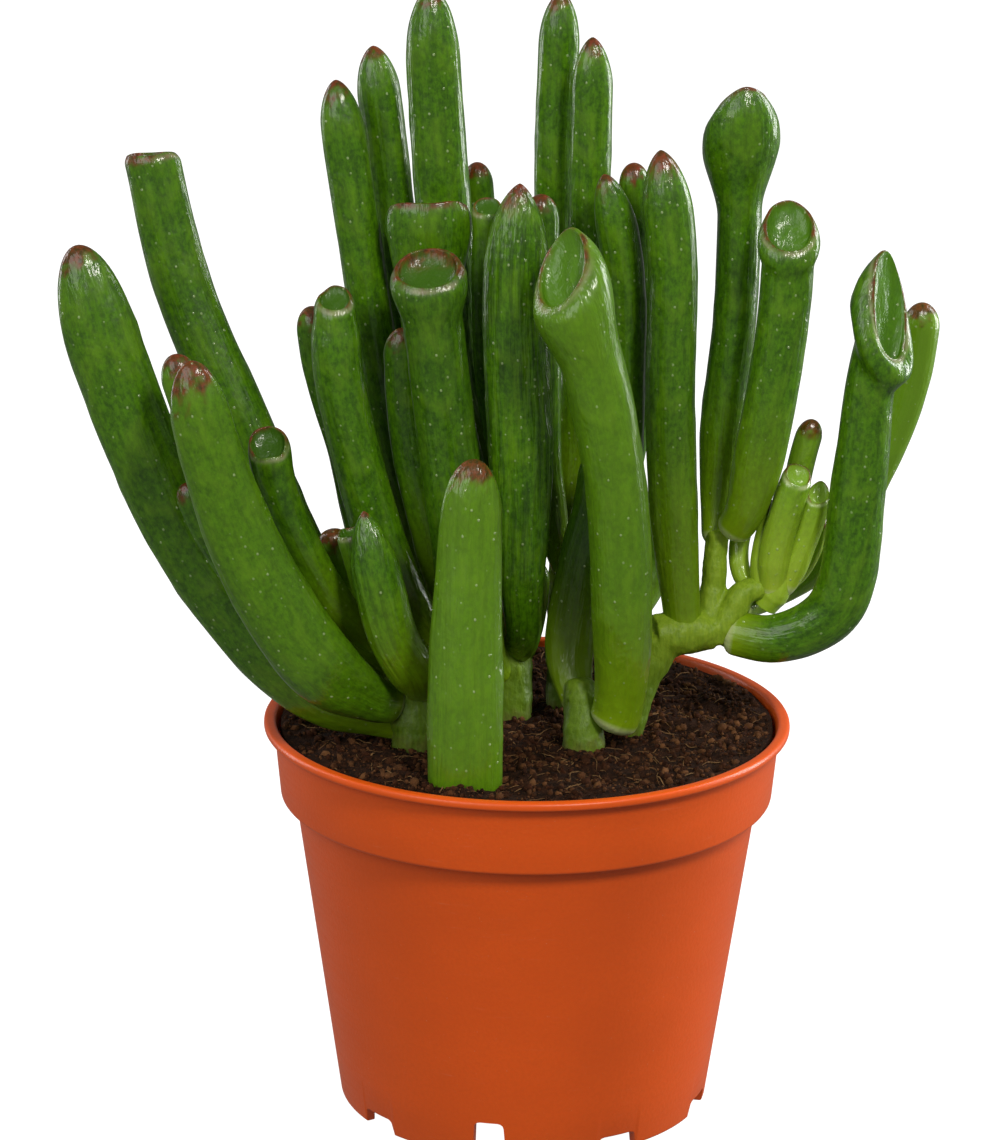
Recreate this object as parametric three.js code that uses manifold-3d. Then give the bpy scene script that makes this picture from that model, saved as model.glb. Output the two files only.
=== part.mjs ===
// Finger-leaved jade plant in a round plastic nursery pot.
// Units are millimetres, +Z is up. While it is modelled, the pot's axis is x = y = 0 and the pot
// stands on z = 0. The finished group is then shifted so that the middle of its outer box, seen
// from above, is the origin.
import * as THREE from "three";
import { mergeVertices } from "three/addons/utils/BufferGeometryUtils.js";
import Module from "manifold-3d";

const wasm = await Module();
wasm.setup();

// Driving dimensions of the pot
const POT_HEIGHT = 91;
const POT_WALL = 0.9;
const LIP_RADIUS = 60;
const LIP_HEIGHT = 1.9;
const COLLAR_TOP_RADIUS = 57.8;
const COLLAR_FOOT_RADIUS = 56.2;
const COLLAR_FOOT_Z = 73.1;
const WALL_TOP_RADIUS = 53;
const BASE_RADIUS = 42.6;
const FOOT_RING_WIDTH = 2.2;
const FLOOR_Z = 10;
const POT_SIDES = 45;
const EDGE_ROUND = 0.6;
const FLOOR_CORNER = 2;

// How far the wall steps out under the collar, and how much of the lip's inner edge is sloped
const COLLAR_STEP = 0.4;
const LIP_SLOPE = 1;

// Notches cut in the foot ring: every third one is a tall slot, the others are low and wide
const NOTCH_COUNT = 9;
const NOTCH_START_DEG = -100;
const SLOT_WIDTH = 6.6;
const SLOT_HEIGHT = 8.8;
const LOW_NOTCH_WIDTH = 9.5;
const LOW_NOTCH_HEIGHT = 3.6;
const NOTCH_ROUND = 1.4;
const NOTCH_FLARE = 0.6;
const NOTCH_DEPTH = 12;

// Drainage holes in the floor
const DRAIN_COUNT = 6;
const DRAIN_RADIUS = 3.5;
const DRAIN_CIRCLE = 27;
const DRAIN_SIDES = 12;

// Gap between pieces that touch
const GAP = 0.3;

// Soil
const SOIL_Z = 89.7;
const SOIL_RINGS = 7;
const SOIL_SIDES = 30;
const SOIL_WAVE = 0.48;
const SOIL_CORNER = 2.4;

// Facets round a leaf and round a stem, and rings between two points of a stem's path
const LEAF_SIDES = 8;
const STEM_SIDES = 8;
const STEM_STEPS = 3;
const STEM_END_BULGE = 0.45;

// A leaf that gives no value of its own has these: the rounded foot's length, the foot's width as a
// share of the leaf's, the share of the length over which it swells, where a taper starts, the
// length of the nose as a share of the width, and how blunt the nose is
const LEAF_FOOT_LENGTH = 3.2;
const LEAF_FOOT_WIDTH = 0.62;
const LEAF_SWELL = 0.3;
const TAPER_START = 0.35;
const NOSE_SHARE = 0.75;
const NOSE_POINT = 0.5;

// A cup's rim is a share of its mouth, its hollow a share of the rim, and its edge rolls in
const CUP_RIM = 0.8;
const CUP_HOLLOW = 0.72;
const CUP_HOLLOW_DEPTH = 0.7;
const CUP_ROLL_POWER = 2.5;

// Places of the rings along a leaf: distances from the foot, then shares of the length, and shares
// of the nose back from the tip
const FOOT_RINGS = [0.8, LEAF_FOOT_LENGTH];
const BODY_RINGS = [0.12, 0.22, 0.36, 0.5, 0.64, 0.78];
const NOSE_RINGS = [1, 0.6, 0.3, 0.1];
const RING_SPACING = 0.5;

// Materials
const finish = (color, roughness) => new THREE.MeshStandardMaterial({ color, roughness });
const LEAF_GREEN = finish(0x4a7a20, 0.35);
const YOUNG_GREEN = finish(0x6a9a28, 0.38);
const STEM_GREEN = finish(0x5b7a26, 0.55);
const POT_ORANGE = finish(0xc2521c, 0.5);
const SOIL_BROWN = finish(0x2a1a10, 0.95);

// Solids and meshes

const smooth = (a, b, x) => {
  const t = Math.min(Math.max((x - a) / (b - a), 0), 1);
  return t * t * (3 - 2 * t);
};

function toSolid(geometry) {
  const merged = geometry.clone();
  merged.deleteAttribute("normal");
  merged.deleteAttribute("uv");
  const welded = mergeVertices(merged, 1e-4);
  const vertProperties = new Float32Array(welded.attributes.position.array);
  const triVerts = new Uint32Array(welded.index.array);
  return new wasm.Manifold(new wasm.Mesh({ numProp: 3, vertProperties, triVerts }));
}

function toGeometry(solid) {
  const mesh = solid.getMesh();
  const geometry = new THREE.BufferGeometry();
  const points = new Float32Array(mesh.vertProperties);
  geometry.setAttribute("position", new THREE.BufferAttribute(points, 3));
  geometry.setIndex(Array.from(mesh.triVerts));
  return geometry;
}

// The largest body of a solid: a cut can leave a sliver that is dropped
function mainBody(solid) {
  const bodies = solid.decompose();
  return bodies.reduce((best, body) => (body.volume() > best.volume() ? body : best));
}

function namedMesh(name, solid, material) {
  const mesh = new THREE.Mesh(toGeometry(mainBody(solid)), material);
  mesh.name = name;
  return mesh;
}

// A closed skin over rings of points, with a pole at each end
function skin(first, rings, last) {
  const sides = rings[0].length;
  const points = [first, ...rings.flat(), last];
  const end = points.length - 1;
  const at = (ring, side) => 1 + ring * sides + (side % sides);
  const faces = [];
  for (let side = 0; side < sides; side++) {
    faces.push(0, at(0, side + 1), at(0, side));
    for (let ring = 0; ring + 1 < rings.length; ring++) {
      const a = at(ring, side);
      const b = at(ring, side + 1);
      const c = at(ring + 1, side + 1);
      const d = at(ring + 1, side);
      faces.push(a, b, c, a, c, d);
    }
    faces.push(end, at(rings.length - 1, side), at(rings.length - 1, side + 1));
  }
  const geometry = new THREE.BufferGeometry().setFromPoints(points);
  geometry.setIndex(faces);
  return geometry;
}

const smoothPath = (points) => {
  const through = points.map((p) => new THREE.Vector3(...p));
  const curve = new THREE.CatmullRomCurve3(through, false, "centripetal");
  curve.arcLengthDivisions = 400;
  return curve;
};

// Centre, side direction and face direction of a section at a distance along a path
function station(curve, length, distance, hint) {
  const u = Math.min(Math.max(distance / length, 0), 1);
  const centre = curve.getPointAt(u);
  const along = curve.getTangentAt(u);
  const face = hint.clone().addScaledVector(along, -hint.dot(along)).normalize();
  const side = new THREE.Vector3().crossVectors(face, along);
  return { centre, side, face };
}

// A polygon drawn just outside its ellipse, so that both have the same area
const facetScale = (sides) => Math.sqrt((2 * Math.PI / sides) / Math.sin(2 * Math.PI / sides));

// Leaf

// A finger leaf. Its section is an ellipse, width by thick, carried along the path from the foot to
// the tip. It swells from a narrow rounded foot. The tip is either a rounded nose, or a cup: the
// leaf flares, and is cut off on a slant that is lowest on the mouth side, and hollowed.
function leafGeometry(leaf, grow = 0) {
  const curve = smoothPath(leaf.path);
  const length = curve.getLength();
  const facing = THREE.MathUtils.degToRad(leaf.facing ?? -90);
  const hint = new THREE.Vector3(Math.cos(facing), Math.sin(facing), leaf.lift ?? 0.25);
  const scale = facetScale(LEAF_SIDES);
  const halfWidth = (leaf.width / 2) * scale + grow;
  const halfThick = (leaf.thick / 2) * scale + grow;
  const cup = leaf.cup;
  const nose = leaf.nose ?? leaf.width * NOSE_SHARE;
  const mouth = THREE.MathUtils.degToRad(cup?.mouth ?? 90);

  const swell = (s) => {
    const foot = Math.min(s / LEAF_FOOT_LENGTH, 1);
    const rounding = Math.sqrt(Math.max(1 - (1 - foot) ** 2, 0));
    const footWidth = leaf.foot ?? LEAF_FOOT_WIDTH;
    const grown = footWidth + (1 - footWidth) * smooth(0, (leaf.swell ?? LEAF_SWELL) * length, s);
    const taper = 1 - (leaf.taper ?? 1);
    return rounding * grown * (1 - taper * smooth(TAPER_START * length, length, s));
  };
  const flare = (s) => {
    if (!cup) return 1;
    return 1 + (cup.flare - 1) * smooth(length - cup.flareLength, length - cup.roll, s);
  };
  const close = (s) => {
    const run = cup ? cup.roll : nose;
    const q = Math.max((s - (length - run)) / run, 0);
    if (cup) return 1 - cup.dome * q ** CUP_ROLL_POWER;
    return Math.max(1 - q * q, 0) ** (leaf.point ?? NOSE_POINT);
  };

  // A point of the section: s is the distance along the leaf, size scales the section and
  // sink moves it down inside the cup
  const ring = (s, size, sink = 0, level = 1) => {
    const points = [];
    for (let k = 0; k < LEAF_SIDES; k++) {
      const angle = (2 * Math.PI * (k + 0.5)) / LEAF_SIDES;
      const low = cup ? (cup.slant * (1 + level * Math.cos(angle - mouth))) / 2 : 0;
      const slanted = s - low * (s / length) ** 3 - sink;
      const place = station(curve, length, slanted, hint);
      const x = halfWidth * size * Math.cos(angle);
      const y = halfThick * size * Math.sin(angle);
      points.push(place.centre.addScaledVector(place.side, x).addScaledVector(place.face, y));
    }
    return points;
  };

  const distances = [...FOOT_RINGS, ...BODY_RINGS.map((share) => share * length)];
  if (cup) {
    const bell = 0.4 * cup.roll + 0.6 * cup.flareLength;
    distances.push(length - bell, length - cup.roll, length - 0.4 * cup.roll, length);
  } else {
    distances.push(...NOSE_RINGS.map((share) => length - share * nose));
  }
  const kept = distances.filter((s, i) => distances.slice(i + 1).every((t) => t > s + RING_SPACING));
  const rings = kept.map((s) => ring(s, swell(s) * flare(s) * close(s)));
  const foot = station(curve, length, 0, hint).centre;
  let tip = station(curve, length, length, hint).centre;
  if (cup) {
    const size = flare(length) * close(length);
    rings.push(ring(length, size * CUP_RIM));
    rings.push(ring(length, size * CUP_RIM * CUP_HOLLOW, cup.depth * CUP_HOLLOW_DEPTH, 0.8));
    tip = station(curve, length, length - cup.slant / 2 - cup.depth, hint).centre;
  }
  return skin(foot, rings, tip);
}

// Stem

// A round stem along a path. Its radii are given at the path's points and blended between them.
function stemGeometry(path, radii, grow = 0) {
  const curve = smoothPath(path);
  const length = curve.getLength();
  const hint = new THREE.Vector3(0.3, -1, 0.1);
  const steps = (path.length - 1) * STEM_STEPS;
  const rings = [];
  for (let i = 0; i <= steps; i++) {
    const u = i / steps;
    const f = u * (radii.length - 1);
    const k = Math.min(Math.floor(f), radii.length - 2);
    const radius = radii[k] + (radii[k + 1] - radii[k]) * (f - k);
    const place = station(curve, length, u * length, hint);
    const size = radius * facetScale(STEM_SIDES) + grow;
    const points = [];
    for (let j = 0; j < STEM_SIDES; j++) {
      const angle = (2 * Math.PI * j) / STEM_SIDES;
      const point = place.centre.clone().addScaledVector(place.side, size * Math.cos(angle));
      points.push(point.addScaledVector(place.face, size * Math.sin(angle)));
    }
    rings.push(points);
  }
  const ends = [0, length].map((s) => station(curve, length, s, hint).centre);
  const out = curve.getTangentAt(1).multiplyScalar(radii.at(-1) * STEM_END_BULGE + grow);
  const back = curve.getTangentAt(0).multiplyScalar(-grow);
  return skin(ends[0].add(back), rings, ends[1].add(out));
}

function stemSolid(stem, grow = 0) {
  const limbs = stem.limbs.map((limb) => toSolid(stemGeometry(limb.path, limb.radii, grow)));
  return limbs.reduce((whole, limb) => whole.add(limb));
}

// Stems stand in the soil. Each limb is a path with the radius at each of its points.
const STEMS = {
  stem_left: {
    limbs: [
      {
        path: [[-25, -17, 78], [-25, -16.5, 90], [-24.8, -14.5, 101], [-24.5, -12.5, 110]],
        radii: [5, 5.4, 4.6, 3.4],
      },
      { path: [[-25, -16.5, 92], [-29, -14.5, 100], [-33, -12.5, 108]], radii: [4.6, 4.4, 3.4] },
    ],
  },
  stem_centre_left: {
    limbs: [{ path: [[-15, -1, 78], [-16.5, 1, 98], [-19.5, 5, 119]], radii: [5.2, 5, 3.6] }],
  },
  stem_centre: {
    limbs: [{ path: [[-4, 3, 78], [-4.5, 5.5, 105], [-5.5, 8.5, 134]], radii: [5.6, 5.4, 3.8] }],
  },
  stem_back: {
    limbs: [{ path: [[10, 10, 78], [9.5, 12, 108], [8.5, 14, 133]], radii: [5.4, 5.2, 3.8] }],
  },
  stem_front: {
    limbs: [{ path: [[12.5, -19.5, 78], [12.8, -18.5, 90], [12, -14, 103]], radii: [4.6, 4.8, 3.6] }],
  },
  stem_right: {
    limbs: [
      {
        path: [[23, -11, 78], [23.8, -11, 91], [25.6, -8.7, 101], [29.5, -6.5, 110.5]],
        radii: [2.6, 2.6, 3.6, 5],
      },
      { path: [[28.6, -6.6, 112], [35, -5.2, 112.6], [41, -4, 113]], radii: [5.2, 5, 4.5] },
      { path: [[40.5, -4, 112], [41.7, -1.5, 120], [42.6, 1.5, 134]], radii: [3.8, 2.7, 2.6] },
      {
        path: [[41.5, -4, 111.5], [45.5, -3.8, 116.5], [49, -2.6, 121.5], [53.5, -1, 122]],
        radii: [4, 3.5, 3.1, 2.6],
      },
    ],
  },
};

// Leaves, each with its stem. The path runs from inside the stem to the tip. A cup's mouth is the
// angle round the leaf of its lowest side: 0 is left, 90 is front, 180 is right and 270 is back.
const LEAVES = {
  leaf_left_outer: {
    stem: "stem_left", width: 16.6, thick: 9.6, nose: 22, point: 0.66, foot: 0.6,
    path: [
      [-26, -14.6, 94.2], [-35, -14.9, 96.4], [-44, -15.6, 99], [-53, -15.2, 105.6],
      [-74.8, -12.5, 133.2], [-91.7, -11, 173.5], [-99.8, -9, 201.2],
    ],
  },
  leaf_left_tall: {
    stem: "stem_left", width: 13.7, thick: 9, foot: 0.55, taper: 0.93,
    path: [
      [-26, -11, 103], [-36.4, -3, 107.5], [-48, 2.5, 119.5],
      [-64.4, 6, 156], [-78.2, 11, 188], [-85.5, 14, 218.4],
    ],
    cup: { mouth: 170, slant: 2, flare: 1.0, flareLength: 14, depth: 2.5, dome: 0.12, roll: 2.5 },
  },
  leaf_left_front: {
    stem: "stem_left", width: 16.8, thick: 9.5, nose: 15, taper: 0.76, foot: 0.5,
    path: [
      [-28.3, -17.2, 98.4], [-34.6, -25, 102.8], [-45.3, -33.2, 113.2],
      [-60.5, -38, 140], [-69, -40, 165.5], [-72.5, -40, 183],
    ],
  },
  leaf_left_peeping: {
    stem: "stem_left", width: 8.5, thick: 5,
    path: [
      [-30.8, -14.2, 106.3], [-38, -21.5, 110.2], [-46.2, -26, 117],
      [-61.2, -27, 139.5], [-71, -27, 162], [-77.3, -26, 181],
    ],
  },
  leaf_left_small: {
    stem: "stem_left", width: 6.5, thick: 4.5,
    path: [
      [-31, -13, 103.5], [-36.5, -15.6, 105.1], [-43, -18.8, 109.7],
      [-58.8, -21, 122], [-70, -20.7, 138], [-76, -20.3, 150.5],
    ],
  },
  leaf_left_sucker: {
    stem: "stem_left", width: 9, thick: 8, foot: 0.7,
    path: [
      [-33.3, -12.7, 110], [-37.3, -15.5, 115.5], [-42.8, -19, 122.5],
      [-49.2, -22.5, 135], [-54.8, -25, 149.5], [-57.3, -26, 163.8],
    ],
    cup: { mouth: 90, slant: 5, flare: 1.05, flareLength: 8, depth: 2.5, dome: 0.1, roll: 2.5 },
  },
  leaf_left_blunt: {
    stem: "stem_left", width: 7, thick: 5.5, nose: 3, point: 0.4,
    path: [
      [-32.5, -11, 108.5], [-35, -8.2, 113], [-39.5, -8, 121],
      [-42.3, -11, 130], [-44, -12.5, 138],
    ],
  },
  leaf_left_bud: {
    stem: "stem_left", width: 6.3, thick: 5.5,
    path: [
      [-25, -14.5, 104], [-29.5, -19.3, 113], [-34.5, -21.5, 124],
      [-37.5, -21.5, 133], [-39.5, -20.5, 141],
    ],
    cup: { mouth: 90, slant: 2, flare: 1.05, flareLength: 5, depth: 1.6, dome: 0.1, roll: 1.5 },
  },
  leaf_left_pointed: {
    stem: "stem_left", width: 11, thick: 7.2, nose: 16, point: 0.75,
    path: [
      [-23.5, -15.7, 100.6], [-24.6, -24.2, 107.5], [-29.4, -28.7, 118],
      [-33, -29.5, 132], [-36, -28.5, 147],
    ],
  },
  leaf_front_short: {
    stem: null, width: 16.4, thick: 9.5, foot: 0.95, taper: 0.78,
    path: [
      [-13.5, -44, 79], [-13.3, -43, 104], [-13.2, -41, 124],
      [-12.8, -39, 142.5], [-11.8, -38, 161.5],
    ],
  },
  leaf_mid_far_left: {
    stem: "stem_centre_left", width: 7.8, thick: 6,
    path: [
      [-17.5, 2.5, 107], [-25.5, 5, 112.5], [-35.6, 5, 127.5],
      [-41.6, 2, 153], [-46.5, 1, 170], [-49.1, 1, 185.8],
    ],
  },
  leaf_mid_cup_left: {
    stem: "stem_centre_left", width: 11.2, thick: 8.5, foot: 0.6,
    path: [
      [-16.5, 0.5, 103], [-22, -3, 110.5], [-29.3, -7.5, 124],
      [-37.2, -9.5, 150], [-42, -10, 171.5], [-43.3, -9, 192],
    ],
    cup: { mouth: 90, slant: 4, flare: 0.84, flareLength: 10, depth: 2, dome: 0.2, roll: 3.5 },
  },
  leaf_tall_left: {
    stem: "stem_centre_left", width: 9.8, thick: 8, nose: 13, point: 0.6,
    path: [
      [-19.3, 4.5, 117], [-24, 3.5, 129], [-27.8, 5.5, 142],
      [-34.7, 9, 175], [-39.7, 10, 208], [-43.8, 11, 234.8],
    ],
  },
  leaf_tall_left_back: {
    stem: "stem_centre_left", width: 9.8, thick: 8, nose: 12, point: 0.6,
    path: [
      [-18.5, 4, 112], [-19.5, 13, 122], [-24.5, 17.5, 153.5],
      [-29.3, 20, 185.5], [-32.8, 22, 217], [-36, 23, 240.5],
    ],
  },
  leaf_mid_hidden_left: {
    stem: "stem_centre_left", width: 8.5, thick: 5.4,
    path: [
      [-18.3, 3, 113], [-19.5, -3, 123], [-22, -5, 135],
      [-26, -5, 152], [-28, -5, 168], [-28.5, -5, 182.5],
    ],
  },
  leaf_tall_centre: {
    stem: "stem_centre", width: 13, thick: 9.5, nose: 16, point: 0.62, taper: 0.92,
    path: [
      [-5.5, 8.5, 131], [-10, 10.5, 145], [-15, 13.5, 162],
      [-19, 15, 196.5], [-21.5, 15, 228], [-23, 15, 255.2],
    ],
  },
  leaf_wide_cup: {
    stem: "stem_centre", width: 14, thick: 8, foot: 0.5,
    path: [
      [-5, 6.5, 114], [-9.5, 3, 126], [-15, 2.5, 141],
      [-19.5, 3, 160], [-22.5, 3.5, 185], [-23, 3.5, 210],
    ],
    cup: { mouth: 270, slant: 3, flare: 1.38, flareLength: 22, depth: 4, dome: 0.12, roll: 5 },
  },
  leaf_sucker_front: {
    stem: "stem_centre", width: 13.2, thick: 10, foot: 0.55,
    path: [
      [-5.8, 3.5, 98], [-9.5, -5, 107], [-13.2, -11.5, 123],
      [-18, -14, 157.5], [-20.8, -15, 180], [-23, -15, 201.6],
    ],
    cup: { mouth: 90, slant: 7, flare: 1.28, flareLength: 13, depth: 4, dome: 0.12, roll: 3.5 },
  },
  leaf_small_back: {
    stem: "stem_centre", width: 6.8, thick: 6,
    path: [
      [-5.3, 8, 124], [-5.5, 18, 138], [-8, 23, 160],
      [-10.2, 25, 182.5], [-11.6, 25, 201], [-12.7, 25, 214],
    ],
  },
  leaf_small_cup: {
    stem: "stem_centre", width: 6, thick: 5,
    path: [
      [-4.7, 7.5, 122], [-1.5, 0.5, 132], [-4.5, -0.8, 146],
      [-8.8, -0.5, 165], [-10.3, 1, 190], [-9.8, 3, 209.8],
    ],
    cup: { mouth: 90, slant: 3, flare: 1.15, flareLength: 6, depth: 1.5, dome: 0.1, roll: 1.5 },
  },
  leaf_centre_broad: {
    stem: "stem_centre", width: 14.8, thick: 9, nose: 20, point: 0.7, foot: 0.5, swell: 0.55,
    path: [
      [-3.7, 4.5, 104.5], [-1.2, -2.5, 110], [-1.3, -7.5, 122],
      [-2, -9, 155], [-3.5, -8, 189.5], [-2.7, -7, 215.5],
    ],
  },
  leaf_centre_behind: {
    stem: "stem_back", width: 8.3, thick: 6,
    path: [[9, 12.5, 119], [6, 7.5, 131], [3.3, 5, 148], [2.6, 4, 172.5], [2, 4, 193], [2, 4, 211]],
  },
  leaf_tall_right_back: {
    stem: "stem_back", width: 9.3, thick: 7.5, nose: 12, point: 0.62,
    path: [
      [8.8, 14, 125], [8.3, 22, 139.5], [7.3, 24, 159.5],
      [5.5, 25.5, 189.5], [5, 26, 221.5], [6, 26, 252.5],
    ],
  },
  leaf_tall_right: {
    stem: "stem_back", width: 9.2, thick: 7.5, nose: 12, point: 0.62,
    path: [
      [8.7, 13.8, 130], [9.7, 12.5, 145], [10.5, 13, 157.5],
      [12, 15, 187], [13, 16, 219], [13, 16, 244],
    ],
  },
  leaf_right_leaning: {
    stem: "stem_back", width: 9.2, thick: 7, nose: 13, point: 0.6,
    path: [
      [9.5, 12, 110], [15, 6, 122], [19.7, 4, 138],
      [21.2, 2, 171], [20.1, 2, 196.5], [15.8, 2, 216],
    ],
  },
  leaf_right_small: {
    stem: "stem_back", width: 7, thick: 6,
    path: [
      [9, 13, 116], [17.5, 13, 131], [23, 13, 150.5],
      [24, 13, 173.5], [23.5, 13, 196.5], [22.5, 13, 216.5],
    ],
  },
  leaf_low_dark: {
    stem: "stem_front", width: 11.8, thick: 7,
    path: [
      [12.3, -16, 97], [9.7, -9.5, 106], [10, -7, 114],
      [12.6, -7, 130], [15.9, -7, 144], [17.6, -7, 157.5],
    ],
  },
  leaf_low_thin: {
    stem: "stem_centre", width: 6.6, thick: 5,
    path: [[-4.2, 5, 98], [-0.5, 7, 107], [1, 7, 114], [1.5, 6.5, 120], [1.5, 6, 126]],
  },
  leaf_front_oblique: {
    stem: "stem_front", width: 13.6, thick: 11, foot: 0.82,
    path: [
      [18.3, -20, 94.2], [20, -20.3, 98.5], [21, -22, 107], [20.7, -25, 123.5],
      [18.4, -27, 156.5], [11.5, -27, 186.5], [4.2, -25, 207.3],
    ],
    cup: { mouth: 62, slant: 14, flare: 1.36, flareLength: 24, depth: 5, dome: 0.26, roll: 7 },
  },
  leaf_right_straight: {
    stem: "stem_right", width: 11, thick: 9, nose: 15, point: 0.66, foot: 0.76,
    path: [[35.2, -5, 111.8], [32.5, -7, 139.5], [30.9, -8, 169.5], [30.9, -7, 198.5], [27.8, -6, 223]],
  },
  leaf_flared_paddle: {
    stem: "stem_right", width: 9.8, thick: 8,
    path: [
      [42.2, 1.5, 131], [42.4, 5.5, 143], [43.3, 6.5, 159.5],
      [45.6, 7, 185], [46.1, 8, 209.5], [45.9, 8, 235],
    ],
    cup: { mouth: 287, slant: 10, flare: 1.76, flareLength: 27, depth: 4, dome: 0.34, roll: 9 },
  },
  leaf_right_cup: {
    stem: "stem_right", width: 11.5, thick: 9, foot: 0.7,
    path: [
      [44.9, -1, 134.3], [48.1, -4, 140.6], [50.8, -5.5, 152],
      [54.3, -6, 175], [56.1, -6, 193.5], [56.3, -6, 211.4],
    ],
    cup: { mouth: 90, slant: 10, flare: 1.2, flareLength: 10, depth: 4, dome: 0.18, roll: 5 },
  },
  leaf_right_hook: {
    stem: "stem_right", width: 13, thick: 9.5, foot: 0.78, taper: 0.8,
    path: [
      [44, -4, 112.8], [56.5, -7, 112.2], [68.8, -9, 120.3],
      [73.3, -9, 149.5], [75.8, -9, 177], [81.4, -8, 200],
    ],
    cup: { mouth: 120, slant: 22, flare: 1.62, flareLength: 19, depth: 4.5, dome: 0.31, roll: 9 },
  },
  leaf_right_behind: {
    stem: "stem_right", width: 8.3, thick: 7, nose: 6,
    path: [
      [47, -1.9, 117.4], [54, 6, 117.5], [66, 9, 125.5],
      [79.2, 9.5, 148.5], [85.8, 10, 168], [88, 10, 186],
    ],
  },
  leaf_back_left: {
    stem: "stem_centre_left", width: 11, thick: 8.5, facing: 90,
    path: [
      [-17.3, 3, 105.5], [-19, 12, 110], [-23, 29, 128],
      [-26, 41, 148], [-28, 46, 168], [-28, 48, 184],
    ],
  },
  leaf_back_centre: {
    stem: "stem_centre", width: 12, thick: 9, facing: 90,
    path: [[-5, 7, 113], [-6, 33, 132], [-8, 44, 150], [-9, 49, 167], [-9, 50, 181]],
    cup: { mouth: 90, slant: 8, flare: 1.2, flareLength: 12, depth: 4, dome: 0.12, roll: 4 },
  },
  leaf_back_right: {
    stem: "stem_back", width: 11, thick: 8.5, facing: 90,
    path: [[9.5, 12.5, 113], [17, 35, 129], [21, 44, 147], [24, 48, 164], [24, 49, 179]],
  },
  leaf_back_far_right: {
    stem: "stem_back", width: 10, thick: 8, facing: 60,
    path: [[9.7, 11, 103], [25, 24, 112], [31, 30, 126], [33.4, 34, 145], [33.4, 35, 162]],
  },
  leaf_back_low_left: {
    stem: "stem_centre_left", width: 10, thick: 8, facing: 120,
    path: [[-16.4, 1.5, 97.5], [-30, 22, 108], [-35, 30, 124], [-37, 34, 140], [-37, 35, 154]],
    cup: { mouth: 90, slant: 6, flare: 1.15, flareLength: 9, depth: 3, dome: 0.12, roll: 3 },
  },
  leaf_back_low: {
    stem: "stem_centre", width: 11, thick: 8, facing: 90,
    path: [[-4.3, 5, 98], [-3, 34, 101], [-2, 46, 110], [-1, 51, 121], [-1, 53, 133]],
  },
};

// The young shoot: a short stalk with a few small leaves grown together at its foot
const SHOOT_STALK = { path: [[53.5, -1, 118], [56, -1.5, 122], [57, -1.5, 126]], radii: [3, 3.4, 2.8] };
const SHOOT_LEAVES = [
  {
    width: 7.4, thick: 6,
    path: [[55, -2.5, 119.5], [55.6, -3.2, 132], [57.8, -3.8, 142], [60.6, -4, 151.5]],
    cup: { mouth: 90, slant: 4, flare: 0.95, flareLength: 6, depth: 1.6, dome: 0.15, roll: 2.5 },
  },
  {
    width: 6, thick: 5.4,
    path: [[57.5, -2, 120.5], [60.8, -2.2, 130], [63.6, -2.5, 139], [65.4, -2.5, 147]],
    cup: { mouth: 90, slant: 4, flare: 0.95, flareLength: 5, depth: 1.4, dome: 0.15, roll: 2 },
  },
  { width: 6, thick: 4.6, path: [[57, 0, 122], [59, 2, 137], [61, 2, 150.5], [63.5, 2, 160.8]] },
  { width: 3.8, thick: 3.4, path: [[58, 0, 121], [62.8, 0.5, 127.5], [65, 0.5, 133], [66, 0.5, 138.5]] },
  { width: 4.4, thick: 3.8, path: [[54, -1.5, 119], [52.2, -1.5, 125.5], [52.8, -1, 133], [55.4, 0, 142.5]] },
  { width: 4.6, thick: 3.6, path: [[53.5, -0.5, 119.5], [48.6, 1.5, 124], [47.6, 3.8, 129.5], [49.5, 7, 137.5]] },
];

function grownStems(names) {
  return names.map((name) => stemSolid(STEMS[name], GAP)).reduce((whole, stem) => whole.add(stem));
}

function leafMesh(name, leaf) {
  let solid = toSolid(leafGeometry(leaf));
  if (leaf.stem) solid = solid.subtract(grownStems([leaf.stem]));
  return namedMesh(name, solid, LEAF_GREEN);
}

function shootMesh() {
  let solid = toSolid(stemGeometry(SHOOT_STALK.path, SHOOT_STALK.radii));
  for (const leaf of SHOOT_LEAVES) solid = solid.add(toSolid(leafGeometry(leaf)));
  return namedMesh("young_shoot", solid.subtract(grownStems(["stem_right"])), YOUNG_GREEN);
}

// Pot

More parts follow.
